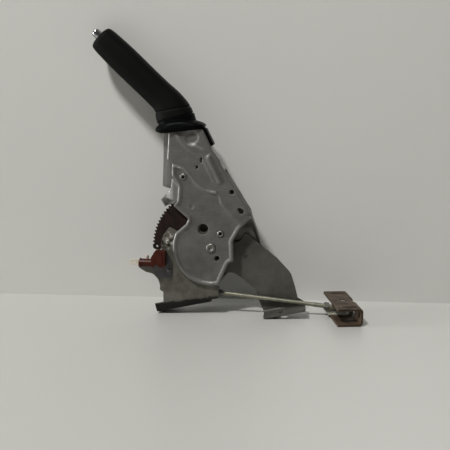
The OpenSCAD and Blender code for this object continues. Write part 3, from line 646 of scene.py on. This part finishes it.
def grip_path(s):
    """Point and heading on the grip's centre line, s from its tip."""
    if s < GRIP_RUN:
        return GRIP_TIP + s * ray(GRIP_HEAD), GRIP_HEAD
    middle = GRIP_TIP + GRIP_RUN * ray(GRIP_HEAD) + GRIP_BEND_R * ray(GRIP_HEAD - 90)
    turn = min((s - GRIP_RUN) / GRIP_BEND_LEN, 1.0) * GRIP_BEND
    past = max(s - GRIP_RUN - GRIP_BEND_LEN, 0.0)
    return middle + GRIP_BEND_R * ray(GRIP_HEAD + 90 - turn) + past * ray(GRIP_HEAD - turn), GRIP_HEAD - turn


def beside(s, side):
    at, heading = grip_path(s)
    return at + side * ray(heading + 90)


def rounded(points):
    """An outline from corners given as x, height and radius, in mm from the pivot."""
    made = []
    count = len(points)
    for i in range(count):
        before, here, after = (np.array(points[(i + k) % count][:2], float) for k in (-1, 0, 1))
        radius = points[i][2]
        back = (before - here) / norm(before - here)
        ahead = (after - here) / norm(after - here)
        if radius <= 0 or abs(back @ ahead) > 0.9995:
            made.append(here)
            continue
        half = math.acos(back @ ahead) / 2
        middle = here + (back + ahead) / norm(back + ahead) * radius / math.sin(half)
        start = here + back * radius / math.tan(half) - middle
        stop = here + ahead * radius / math.tan(half) - middle
        first = math.degrees(math.atan2(start[1], start[0]))
        turn = (math.degrees(math.atan2(stop[1], stop[0])) - first + 540) % 360 - 180
        steps = max(2, math.ceil(abs(turn) / 10))
        made += [middle + radius * ray(first + turn * k / steps) for k in range(steps + 1)]
    return np.array(made)


def dense(outline, step):
    """The same outline with no side longer than step."""
    made = []
    for one, two in zip(outline, np.roll(outline, -1, axis=0)):
        count = max(1, math.ceil(norm(two - one) / step))
        made += [one + (two - one) * k / count for k in range(count)]
    return np.array(made)


def depth_inside(points, outline):
    """How far each point lies inside a closed outline, in mm; outside it is negative."""
    along = np.roll(outline, -1, axis=0) - outline
    ends = outline + along
    square = np.maximum((along ** 2).sum(1), 1e-12)
    rise = np.where(np.abs(along[:, 1]) < 1e-9, 1e-9, along[:, 1])
    made = np.empty(len(points))
    for first in range(0, len(points), 1000):
        block = points[first:first + 1000]
        gap = block[:, None] - outline[None]
        share = np.clip((gap * along).sum(2) / square, 0, 1)
        near = np.sqrt(((gap - share[..., None] * along) ** 2).sum(2).min(1))
        level = block[:, 1:2]
        crossing = (outline[:, 1] > level) != (ends[:, 1] > level)
        cut = outline[:, 0] + (level - outline[:, 1]) * along[:, 0] / rise
        inside = (crossing & (block[:, 0:1] < cut)).sum(1) % 2 == 1
        made[first:first + 1000] = np.where(inside, near, -near)
    return made


def soft(value, low, high):
    """A smooth rise from 0 at low to 1 at high."""
    share = np.clip((value - low) / (high - low), 0, 1)
    return share * share * (3 - 2 * share)


def from_point(points, x, height):
    return np.hypot(points[:, 0] - x, points[:, 1] - height)


def round_hole(x, height, radius, wide=1.0):
    angles = np.linspace(0, 2 * math.pi, 32, endpoint=False)
    return np.stack((x + radius * wide * np.cos(angles), height + radius * np.sin(angles)), 1)


def long_hole(first, second):
    """The outline round two circles, each given as x, height and radius."""
    points = np.concatenate((round_hole(*first), round_hole(*second)))
    return points[convex_hull_2d([Vector(point) for point in points])]


def pressed_sheet(outline, holes, face_depth, rim_depth, side):
    """A pressed sheet: a face at its depth from the mid plane, and a wall back to the rim."""
    edge = dense(outline, EDGE_STEP)
    holes = [dense(hole, HOLE_STEP) for hole in holes]
    tangent = np.roll(edge, -1, axis=0) - np.roll(edge, 1, axis=0)
    inward = np.stack((-tangent[:, 1], tangent[:, 0]), 1) / norm(tangent, axis=1)[:, None]
    filler = []
    for step in EDGE_RINGS:
        ring = edge + inward * step
        filler.append(ring[depth_inside(ring, edge) > step * 0.93])
    low, high = edge.min(0), edge.max(0)
    columns = np.arange(low[0], high[0], GRID_X)
    rows = np.arange(low[1], high[1], GRID_Z)
    grid = np.stack(np.meshgrid(columns, rows), 2)
    grid[1::2, :, 0] += GRID_X / 2
    grid = grid.reshape(-1, 2)
    filler.append(grid[depth_inside(grid, edge) > GRID_IN])
    filler = np.concatenate(filler)
    for hole in holes:
        filler = filler[depth_inside(filler, hole) < -HOLE_CLEAR]
    for hole in holes:
        out = hole - hole.mean(0)
        out /= norm(out, axis=1)[:, None]
        filler = np.concatenate([filler] + [hole + out * step for step in HOLE_RINGS])
    loops = [edge] + holes
    borders = []
    base = 0
    for loop in loops:
        borders += [(base + k, base + (k + 1) % len(loop)) for k in range(len(loop))]
        base += len(loop)
    points = np.concatenate(loops + [filler])
    flat, _, faces, sources = delaunay_2d_cdt([Vector(point) for point in points], borders, [], 0, 1e-5)[:4]
    flat = np.array([tuple(point) for point in flat])
    centres = flat[np.array(faces)].mean(1)
    keep = depth_inside(centres, edge) > 0
    for hole in holes:
        keep &= depth_inside(centres, hole) < 0
    inside = np.maximum(depth_inside(flat, edge), 0)
    for index, source in enumerate(sources):
        if any(k < len(edge) for k in source):
            inside[index] = 0
    away = np.min([-depth_inside(flat, hole) for hole in holes], axis=0)
    corner = np.clip(BEND_R - inside, 0, BEND_R)
    bend = BEND_R - np.sqrt(BEND_R ** 2 - corner ** 2)
    depth = face_depth(flat, inside) - bend - 0.3 * (1 - soft(away, 0, 1.5))
    work = bmesh.new()
    spots = [work.verts.new(from_pivot(x, side * d, z)) for (x, z), d in zip(flat, depth)]
    for face in np.array(faces)[keep]:
        work.faces.new([spots[k] for k in (face if side < 0 else face[::-1])])
    place_of = {k: index for index, source in enumerate(sources) for k in source}
    rims = rim_depth(edge)
    foot = [work.verts.new(from_pivot(x, side * d, z)) for (x, z), d in zip(edge, rims)]
    for k in range(len(edge)):
        after = (k + 1) % len(edge)
        ring = [spots[place_of[after]], spots[place_of[k]], foot[k], foot[after]]
        work.faces.new(ring if side < 0 else ring[::-1])
    bmesh.ops.delete(work, geom=[vert for vert in work.verts if not vert.link_faces], context="VERTS")
    work.normal_update()
    bmesh.ops.solidify(work, geom=work.faces[:], thickness=SHEET * MM)
    return work


def join(work, sheet):
    """Adds one bmesh to another."""
    plain = bpy.data.meshes.new("sheet")
    sheet.to_mesh(plain)
    sheet.free()
    work.from_mesh(plain)
    bpy.data.meshes.remove(plain)


def add_plate(work, outline, low, high, ease=0.3):
    """Adds an eased plate in the lever plane, from y low to y high."""
    sheet = bmesh.new()
    ends = []
    for y in (low, high):
        ends.append([sheet.verts.new(from_pivot(x, y, z)) for x, z in outline])
    sheet.faces.new(ends[0])
    sheet.faces.new(ends[1][::-1])
    for k in range(len(outline)):
        after = (k + 1) % len(outline)
        sheet.faces.new((ends[0][after], ends[0][k], ends[1][k], ends[1][after]))
    bmesh.ops.recalc_face_normals(sheet, faces=sheet.faces)
    ease_edges(sheet, ease)
    join(work, sheet)


def read(items, name, wide, kind=float):
    """One property of every vertex or edge, as rows of numbers."""
    values = np.empty(len(items) * wide, kind)
    items.foreach_get(name, values)
    return values.reshape(-1, wide)


def mark_wear_and_shade(mesh, reach=0.35):
    """Marks edges that rub bare and hollows that darken with dirt and painted shade, from how far each point
    stands out.
    """
    spots = read(mesh.vertices, "co", 3)
    normals = read(mesh.vertices, "normal", 3)
    one, two = read(mesh.edges, "vertices", 2, int).T

    def gathered(at_one, at_two):
        made = np.zeros(len(spots))
        np.add.at(made, one, at_one)
        np.add.at(made, two, at_two)
        return made

    gap = spots[two] - spots[one]
    far = np.maximum(norm(gap, axis=1), 1e-9)
    used = np.maximum(gathered(1, 1), 1)
    bend = gathered((gap * normals[one]).sum(1) / far, -(gap * normals[two]).sum(1) / far) / used
    for _ in range(2):
        bend = 0.5 * bend + 0.5 * gathered(bend[two], bend[one]) / used
    for name, value in (("edge", -bend), ("hollow", bend)):
        old = mesh.attributes.get(name)
        if old:
            mesh.attributes.remove(old)
        layer = mesh.attributes.new(name, "FLOAT", "POINT")
        layer.data.foreach_set("value", np.clip((value - 0.04) / reach, 0, 1).astype(np.float32))


shell_top = [
    (49, 47, 3), (12.9, 105.1, 8), (10.6, 111.6, 5), (1.8, 123.6, 8), (-9.4, 147.3, 12),
    (*beside(143.5, 25), 2), (*beside(139, 17), 4), (*beside(130, 14), 8),
    (*beside(GRIP_RUN - 4, TANG_A), 12), (*beside(6, TANG_A), 2), (*beside(6, -TANG_A), 2),
    (*beside(GRIP_RUN - 6, -TANG_A), 12), (-56, 160, 14), (-52.2, 145, 12), (-54.4, 110, 4),
    (-48.2, 105.5, 4), (-49, 91.2, 6), (-40.7, 78, 6), (-42, 60, 5), (-47.7, 53.3, 1.5),
    (-28.8, 36.6, 2.5), (-31, 31, 2.5)]
disc_arc = [(*(DISC_R * ray(157 + 125 * k / 28)), 0) for k in range(29)]
near_outline = rounded(disc_arc + [(22.5, -19, 5), (29, -16.5, 1.5), (28, 9, 6), (36.5, 24.5, 20),
                                   (50.8, 38.8, 1), (47.8, 41.6, 1)] + shell_top)
far_outline = rounded(disc_arc + [(30, -26, 8), (58, -12, 7), (64.4, -0.7, 5), (52, 36, 8)] + shell_top)
panel_outline = rounded([
    (42, 25, 4), (70, 30, 0), (60, 60, 0), (30, 110, 0), (20, 150, 0), (-60, 300, 0), (-170, 300, 0),
    (-75, 120, 0), (-75, 105, 0), (-45.5, 101.5, 4), (-33.5, 98.2, 6), (-24.7, 89.5, 12), (-13.7, 76.2, 10),
    (-2.5, 70.8, 12), (10, 66, 5), (12.3, 55.8, 5), (24, 42, 8)])
ridge_outline = rounded([
    (-44.5, 142, 1), (-39.5, 143.3, 1), (-34.2, 135.7, 6), (-28.3, 130.5, 6), (-18.4, 128.4, 8),
    (-8.6, 124.2, 8), (-1.7, 117, 6), (6.2, 104.5, 6), (12.1, 94.1, 6), (14.1, 85.8, 4), (9.1, 80.6, 4),
    (3.2, 82.5, 4), (-5, 99, 8), (-9.5, 109, 6), (-14.5, 113.8, 5), (-22.4, 118, 8), (-30.3, 124.2, 8),
    (-37.5, 131.5, 8)])
BEAD_LINE = np.array(((-3.1, 113.2), (10.4, 85.0)))
BEAD_HIGH = 2.4
BEAD_HALF = 7.0
ROLL_LINE = np.array(((-52, 103), (-45.5, 101.8), (-38, 100), (-33, 97.6), (-28.5, 93.5), (-24, 88),
                      (-19, 81.5), (-14, 76.4), (-8, 72.8), (-2, 71), (6, 69.8)))
ROLL_HIGH = 1.1
ROLL_HALF = 3.4
RIDGE_HIGH = 1.1
DISH_AT = (-23, 138.3)
DISH_DEEP = 1.3
DIMPLE_AT = (-23.9, 52.6)
DIMPLE_DEEP = 0.9


def shell_base(points, inside):
    wide = 1.2 + 2.8 * (1 - soft(points[:, 1], 42, 54))
    panel = STEP * soft(depth_inside(points, panel_outline) / wide, -1, 1)
    rim = (RIM_HIGH + 0.5 * (1 - soft(points[:, 1], 20, 40))) * (1 - soft(inside, 3.4, 6.2))
    return BASE_Y + np.maximum(panel, rim)


def round_ridge(points, line, high, half):
    """A ridge with a round back along an open line."""
    off = np.full(len(points), half, float)
    for one, two in zip(line, line[1:]):
        share = np.clip(((points - one) @ (two - one)) / ((two - one) @ (two - one)), 0, 1)
        off = np.minimum(off, norm(points - one - share[:, None] * (two - one), axis=1))
    return high * 0.5 * (1 + np.cos(math.pi * off / half))


def near_face(points, inside):
    bead = round_ridge(points, BEAD_LINE, BEAD_HIGH, BEAD_HALF)
    roll = round_ridge(points, ROLL_LINE, ROLL_HIGH, ROLL_HALF)
    ridge = RIDGE_HIGH * soft(depth_inside(points, ridge_outline), -1.6, 2.0)
    dish = DISH_DEEP * (1 - soft(from_point(points, *DISH_AT), 6.0, 9.4))
    dimple = DIMPLE_DEEP * (1 - soft(from_point(points, *DIMPLE_AT), 1.2, 3.8))
    return shell_base(points, inside) + np.maximum(np.maximum(bead, ridge), roll) - dish - dimple


def rim_at(deep):
    """The depth of a sheet's rim: deep round the pivot, and at the mid plane further up."""
    return lambda edge: deep * (1 - soft(from_point(edge, 0, 0), DEEP_R - 1, DEEP_R + 1))


BIG_HOLE = (-10, 24.3, 6.8)
EYELET_AT = (12.1, 18.6)
PAWL_AT = (-34.2, 89.4)
PAWL_PIN_R = 3.0
near_holes = [round_hole(*BIG_HOLE), round_hole(*EYELET_AT, 3.2), round_hole(7.5, -13, 3.5),
              round_hole(0, 0, NECK_R), round_hole(*PAWL_AT, PAWL_PIN_R), round_hole(-17, 102.1, 2.2, 0.75),
              round_hole(26.3, 71.4, 3.1), long_hole((38, 47.3, 3.3), (35.6, 49.7, 2.2)),
              long_hole((-11.8, 112.4, 1.7), (-11.8, 107.9, 0.7))]
far_holes = [round_hole(0, 0, NECK_R), round_hole(*PAWL_AT, PAWL_PIN_R), round_hole(*BIG_HOLE)]
seam_top = [(-40, 78, 4), (-47, 92, 4), (-47, 105, 4), (-52, 112, 4), (-51, 145, 4)]
near_seam = rounded([(-52, 157, 0), (-57, 154, 3), (-57.4, 105, 8), (-58.4, 78, 2), (-50.5, 76.5, 1.5),
                     (-50.5, 73, 1), (-53, 72, 2), (-62.6, 61.4, 0), (-57, 52.6, 0), (-47, 54.5, 3),
                     (-41.5, 60, 4)] + seam_top)
far_seam = rounded([(-52, 157, 0), (-60, 154, 3), (-61, 109, 8), (-62.4, 76.4, 2), (-53, 73.4, 2),
                    (-42, 72.6, 2)] + seam_top)
TAB_ENDS = np.array(((-62.6, 61.4), (-57.0, 52.6)))
TAB_OUT = 16
WEB_SHEET = 0.8

shell_steel = used_steel("shell steel", (104, 102, 99), (84, 82, 79), (158, 156, 151),
                         0.42, 0.7, rust=0.1, scratch=0.3, stain=45.0)
near_work = pressed_sheet(near_outline, near_holes, near_face, rim_at(9.0), -1)
add_plate(near_work, near_seam, -SHEET, 0)
tab_back = TAB_ENDS + SHEET * ray(31)
add_plate(near_work, np.concatenate((TAB_ENDS, tab_back[::-1])), -TAB_OUT, 0)


def add_web(work):
    """Adds the folded sheet that runs from the ear to the shell's edge."""
    sheet = bmesh.new()
    rows = []
    for x in np.linspace(-57, -40.7, 15):
        low = np.interp(x, (-57, -47, -40.7), (55, 55.5, 62))
        high = np.interp(x, (-57, -53, -50.4, -49.5, -40.7), (66.5, 71, 74.5, 88, 79))
        y = np.interp(x, (-57, -53, -48, -40.7), (-2.2, -7.2, -9.8, -11.4))
        rows.append([sheet.verts.new(from_pivot(x, y, z)) for z in np.linspace(low, high, 8)])
    for one, two in zip(rows, rows[1:]):
        for k in range(len(one) - 1):
            sheet.faces.new((one[k], two[k], two[k + 1], one[k + 1]))
    sheet.normal_update()
    bmesh.ops.solidify(sheet, geom=sheet.faces[:], thickness=WEB_SHEET * MM)
    join(work, sheet)


add_web(near_work)
far_work = pressed_sheet(far_outline, far_holes, shell_base, rim_at(8.5), 1)
add_plate(far_work, far_seam, 0, SHEET)
for shell, shell_work in (("near_shell", near_work), ("far_shell", far_work)):
    shell_mesh = to_mesh(shell, shell_work)
    mark_wear_and_shade(shell_mesh)
    link_piece(shell + "_finished", shell_mesh, shell_steel, "shell_steel", shell)
finish_piece("shell_eyelet", turned([
    (1.9, -BASE_Y - 1.4), (2.4, -BASE_Y - 1.9), (3.4, -BASE_Y - 1.7), (4.4, -BASE_Y - 0.6), (4.4, -BASE_Y),
    (3.2, -BASE_Y), (3.2, -BASE_IN), (4.2, -BASE_IN), (4.2, -BASE_IN + 0.8), (1.9, -BASE_IN + 0.8)],
    across(*EYELET_AT)), bright_steel)

# Pawl, its pin, push rod and return spring.
# Inside the shells a stamped pawl turns on a riveted pin; a bent wire from the button lifts it,
# and a coil spring between the button's foot and a seat in the tang brings it back.
finish_piece("pawl_pin", turned([
    (0, -BASE_Y + 6), (1.6, -BASE_Y + 6), (1.7, -BASE_Y - 1.1), (2.6, -BASE_Y - 1.4), (3.6, -BASE_Y - 1.1),
    (4.6, -BASE_Y - 0.4), (4.6, -BASE_Y), (PAWL_PIN_R, -BASE_Y), (PAWL_PIN_R, BASE_Y),
    (4.6, BASE_Y), (4.6, BASE_Y + 0.6), (3, BASE_Y + 1.3), (0, BASE_Y + 1.5)], across(*PAWL_AT)),
    bright_steel)
zinc_steel = used_steel("zinc steel", (138, 137, 122), (108, 106, 92), (172, 171, 158),
                        0.36, 0.8, rust=0.14, scratch=0.2, stain=110.0)
guide_black = moulded("guide black", (34, 34, 34), (52, 52, 52), 0.45, 0.6)
eased("pawl", 0.25, arm_steel)
eased("push_rod", 0.1, zinc_steel)
eased("button_guide", 0.4, guide_black)
eased("spring_seat", 0.3, bright_steel)


def make_coil_tree():
    """A round wire wound on a helix; its sizes are in metres."""
    tree, given = geometry_tree("wound wire", {"Turns": "Float", "Coil Radius": "Float", "Length": "Float",
                                               "Wire Radius": "Float", "Finish": "Material"})
    path = grow(tree, "CurveSpiral", {
        "Resolution": 28, "Rotations": given["Turns"], "Start Radius": given["Coil Radius"],
        "End Radius": given["Coil Radius"], "Height": given["Length"]})
    ring = grow(tree, "CurvePrimitiveCircle", {"Resolution": 10, "Radius": given["Wire Radius"]})
    wire = grow(tree, "CurveToMesh", {"Curve": path, "Profile Curve": ring, "Fill Caps": True})
    end_tree(tree, wire, given["Finish"])
    return tree


coil_tree = make_coil_tree()


def along(point, heading):
    """Places a turned or wound piece along a line in the lever plane."""
    at = from_pivot(point[0], 0, point[1])
    return Matrix.Translation(at) @ Matrix.Rotation(math.radians(90 - heading), 4, "Y")


def wound(name, turns, radius, length, wire, place, material):
    mesh = run_tree(name, coil_tree, bpy.data.meshes.new(name + " start"),
                    {"Turns": turns, "Coil Radius": radius * MM, "Length": length * MM,
                     "Wire Radius": wire * MM, "Finish": material})
    mesh.transform(place)
    mesh.shade_smooth()
    return mesh


SPRING_TURNS = 8.0
SPRING_R = 5.0
SPRING_FROM = 26.9
SPRING_LEN = 34.2
SPRING_WIRE_R = 0.9
spring_mesh = wound("return_spring", SPRING_TURNS, SPRING_R, SPRING_LEN, SPRING_WIRE_R,
                    along(GRIP_TIP + SPRING_FROM * ray(GRIP_HEAD), GRIP_HEAD), bright_steel)
spring = link_piece("return_spring_finished", spring_mesh, bright_steel, "bright_steel", "return_spring")
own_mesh(spring)

# Grip, collar and release button.
# A black moulded grip with a fine grain is pushed over the tang; a semi-gloss collar closes its lower
# end with a flange and a tongue down the back edge, and a plated button stands out of its tip.
GRIP_END = 134
COLLAR_END = 152.4
COLLAR_A = 29.0
TONGUE_HALF = 9
GROOVE_UP = 9.3
GROOVE_DEEP = 0.8
GROOVE_HALF = 0.9
GROOVE_TILT = 3
BUTTON_R = 5.5
BUTTON_OUT = 11.0


def smooth_rows(rows, stations):
    """Rows of numbers, the first one their station, drawn as smooth curves at new stations."""
    table = np.array(rows, float)
    at, value = table[:, 0], table[:, 1:]
    slope = np.gradient(value, at, axis=0)
    steps = np.diff(value, axis=0) / np.diff(at)[:, None]
    for k in range(1, len(at) - 1):
        flat = steps[k - 1] * steps[k] <= 0
        slope[k] = np.where(flat, 0, np.sign(slope[k]) * np.minimum(
            np.abs(slope[k]), 2.5 * np.minimum(np.abs(steps[k - 1]), np.abs(steps[k]))))
    made = []
    for s in stations:
        k = min(max(np.searchsorted(at, s) - 1, 0), len(at) - 2)
        wide = at[k + 1] - at[k]
        t = (s - at[k]) / wide
        here = (2 * t ** 3 - 3 * t ** 2 + 1) * value[k] + (t ** 3 - 2 * t ** 2 + t) * wide * slope[k]
        there = (3 * t ** 2 - 2 * t ** 3) * value[k + 1] + (t ** 3 - t ** 2) * wide * slope[k + 1]
        made.append((s, *(here + there)))
    return made


def oval_ring(work, s, half, deep, shift, power, around=72):
    """A ring across the grip's centre line, a little squarer than an oval."""
    at, heading = grip_path(s)
    ring = []
    for k in range(around):
        c, d = math.cos(2 * math.pi * k / around), math.sin(2 * math.pi * k / around)
        w = shift + half * math.copysign(abs(c) ** power, c)
        x, z = at + w * ray(heading + 90)
        y = deep * math.copysign(abs(d) ** power, d)
        ring.append(work.verts.new(from_pivot(x, y, z)))
    return ring


def add_loft(work, rows):
    """A closed skin over rings of station, half width, half depth, side shift and roundness."""
    rings = [oval_ring(work, *row) for row in rows]
    faces = [work.faces.new(rings[0]), work.faces.new(rings[-1])]
    for low, high in zip(rings, rings[1:]):
        for k in range(len(low)):
            after = (k + 1) % len(low)
            faces.append(work.faces.new((low[k], low[after], high[after], high[k])))
    bmesh.ops.recalc_face_normals(work, faces=faces)


ROUND = 0.88
grip_rows = [(0, 12.4, 11.8), (0.7, 14.1, 13.6), (2.4, 15.5, 15.1), (6, 16.3, 16.1), (20, 17.3, 16.7),
             (48, 18, 17), (80, 17.8, 17), (104, 18.1, 17.2), (112, 19, 17.5), (118, 20.2, 17.8),
             (124, 21.8, 18.2), (130, 23, 18.6), (GRIP_END, 23.4, 18.8)]
grip_rows = [(s, a, b, max(0, s - 121) ** 1.3 / 28, ROUND) for s, a, b in grip_rows]
stations = [0, 0.15, 0.35, 0.7, 1.2, 1.8, 2.4, 3.4, 4.6, 6, 8, 11, 15, 20]
stations += list(np.arange(23, 110, 3)) + list(np.arange(110, 133.2, 0.4)) + [133.4, 133.7]
grip_skin = smooth_rows(grip_rows, stations)
tip_hole = [(7.0, 6.4, 6.4, 0, 1.0), (0.9, 6.5, 6.5, 0, 1.0), (0.35, 6.8, 6.8, 0, 1.0),
            (0.05, 7.4, 7.4, 0, 1.0), (-0.05, 9.0, 8.8, 0, 0.96), (-0.05, 11.2, 10.8, 0, 0.9)]
grip_work = bmesh.new()
add_loft(grip_work, tip_hole + grip_skin + [(GRIP_END, 21.5, 17.0, 1, ROUND)])
end_at, end_heading = grip_path(GRIP_END)
end_level = from_pivot(end_at[0], 0, end_at[1])
up_x, up_z = -ray(end_heading - GROOVE_TILT)
end_up = Vector((up_x, 0, up_z))
for vert in grip_work.verts:
    off = vert.co - end_level
    level = off @ end_up / MM
    groove = GROOVE_DEEP * math.exp(-((level - GROOVE_UP) / GROOVE_HALF) ** 2)
    if groove > 0.001:
        vert.co -= (off - off @ end_up * end_up).normalized() * groove * MM
grip_black = moulded("grip black", (8, 8, 7), (15, 15, 14), 0.5, 0.62, 1500.0, 25.0, 0.35,
                     0.0003, shine=0.04)
finish_piece("grip", grip_work, grip_black, angle=math.radians(50))

collar_rows = [(GRIP_END, 22.6, 18.0, 1), (134.3, 23.7, 19.1, 1.05), (134.8, 24.1, 19.5, 1.2),
               (137.2, 24.0, 19.5, 1.8), (137.6, 23.5, 19.0, 1.9), (138.0, 24.0, 19.5, 2.0),
               (140, 24, 19.6, 2.4), (140.6, 23.6, 19.2, 2.6, 0.83), (141, 23.5, 19.2, 2.9, 0.8),
               (142, 24.6, 19.6, 3.6, 0.74), (143.6, 27.4, 20.1, 4.5, 0.65), (145.5, 29.6, 20.4, 5.4, 0.56),
               (147.5, 30.9, 20.6, 6.2, 0.5), (148.6, 30.8, 20.5, 6.4, 0.5), (149.6, 30.3, 20.1, 6.6, 0.5),
               (150.6, 29.3, 19.6, 6.9, 0.5), (151.5, 27.8, 18.8, 7.2, 0.5),
               (COLLAR_END, 26.9, 17.6, 7.6, 0.5)]
collar_rows = [row if len(row) > 4 else (*row, ROUND) for row in collar_rows]
collar_stations = [*np.arange(GRIP_END, COLLAR_END, 0.3), COLLAR_END]
collar_work = bmesh.new()
add_loft(collar_work, smooth_rows(collar_rows, collar_stations))
tongue = rounded([(*beside(148.6, COLLAR_A + 1.9), 0), (*beside(154.9, COLLAR_A + 4.3), 3),
                  (*beside(175, COLLAR_A + 12.8), 1.5), (*beside(173, COLLAR_A + 16.9), 1.5),
                  (*beside(152.5, COLLAR_A + 9.6), 3)])
add_plate(collar_work, tongue, -TONGUE_HALF, TONGUE_HALF, 0.6)
collar_black = moulded("collar black", (4, 5, 5), (9, 10, 10), 0.34, 0.46, 700.0, 30.0, 0.12,
                       shine=0.03)
finish_piece("grip_collar", collar_work, collar_black)


def make_plating():
    """Bright nickel plating with hairline scratches and a little haze."""
    material, tree, shader = new_shader("button chrome")
    wear = put(tree, "Group", {"Stain Scale": 200.0, "Scratch Amount": 0.5}, node_tree=wear_and_shade_group).outputs
    tint = mixed(tree, wear["Stain"], linear(164, 165, 168), linear(140, 140, 142))
    feed(tree, shader, {
        "Base Color": mixed(tree, wear["Scratch"], tint, linear(120, 119, 117)),
        "Roughness": between(tree, wear["Stain"], 0.0, 1.0, 0.12, 0.26), "Metallic": 1.0})
    return material


button_chrome = make_plating()
finish_piece("release_button", turned([
    (0, -BUTTON_OUT), (BUTTON_R - 3, -BUTTON_OUT + 0.2), (BUTTON_R - 1.2, -BUTTON_OUT + 0.9),
    (BUTTON_R - 0.3, -BUTTON_OUT + 2.1), (BUTTON_R, -BUTTON_OUT + 3.6), (BUTTON_R, 22), (BUTTON_R, 23),
    (6.8, 23), (6.8, 26), (0, 26)], along(GRIP_TIP, GRIP_HEAD), 2, 56), button_chrome)

# Pull rod, clevis and nuts.
# A greenish plated rod with rolled thread runs from a folded clevis on the pull arm's pin
# to the equalizer; a jam nut and an adjuster nut sit on it.
PIN_AT = np.array((-8.0, -58.0))
ROD_DROP = 6.2
ROD_R = 2.6
ROD_START = 16
THREAD_R = 0.38
EQ_X = 166.2
ROD_END = 180.2
rod_len = (ROD_END - PIN_AT[0]) / math.cos(math.radians(ROD_DROP))
saddle_s = (EQ_X - PIN_AT[0]) / math.cos(math.radians(ROD_DROP))
rod_place = along(PIN_AT, -ROD_DROP)
rod_work = bmesh.new()
lathe(rod_work, [(0, ROD_START), (ROD_R, ROD_START), (ROD_R, rod_len - 0.8), (ROD_R - 0.7, rod_len),
                 (0, rod_len)], rod_place, 32)
for first, last in ((saddle_s - 38, saddle_s - 24), (saddle_s - 17, saddle_s - 3)):
    thread = wound("rod thread", last - first, ROD_R, last - first, THREAD_R,
                   rod_place @ Matrix.Translation((0, 0, first * MM)), zinc_steel)
    rod_work.from_mesh(thread)
    bpy.data.meshes.remove(thread)
finish_piece("pull_rod", rod_work, zinc_steel)
eased("rod_clevis", 0.3, bright_steel)
eased("clevis_pin", 0.15, bright_steel)
eased("clevis_clip", 0.1, dark_steel)
eased("jam_nut", 0.2, arm_steel, "zinc_steel")
eased("adjuster_nut", 0.2, zinc_steel)

# Saddle and equalizer.
# A bent strap bears on the adjuster nut and turns on two studs in a thick channel of brown rusted
# steel, which takes the two cable ends in its slots.
equalizer_steel = used_steel("equalizer steel", (70, 57, 43), (30, 22, 15), (142, 129, 108),
                             0.62, 0.35, rust=0.24, scratch=0.05, stain=75.0, bump=0.6, shine=0.3)
strap_steel = used_steel("strap steel", (178, 175, 160), (146, 142, 126), (204, 202, 190),
                         0.4, 0.6, rust=0.12, scratch=0.2, stain=90.0)
eased("rod_saddle", 0.3, strap_steel, "zinc_steel")
eased("equalizer", 0.6, equalizer_steel)
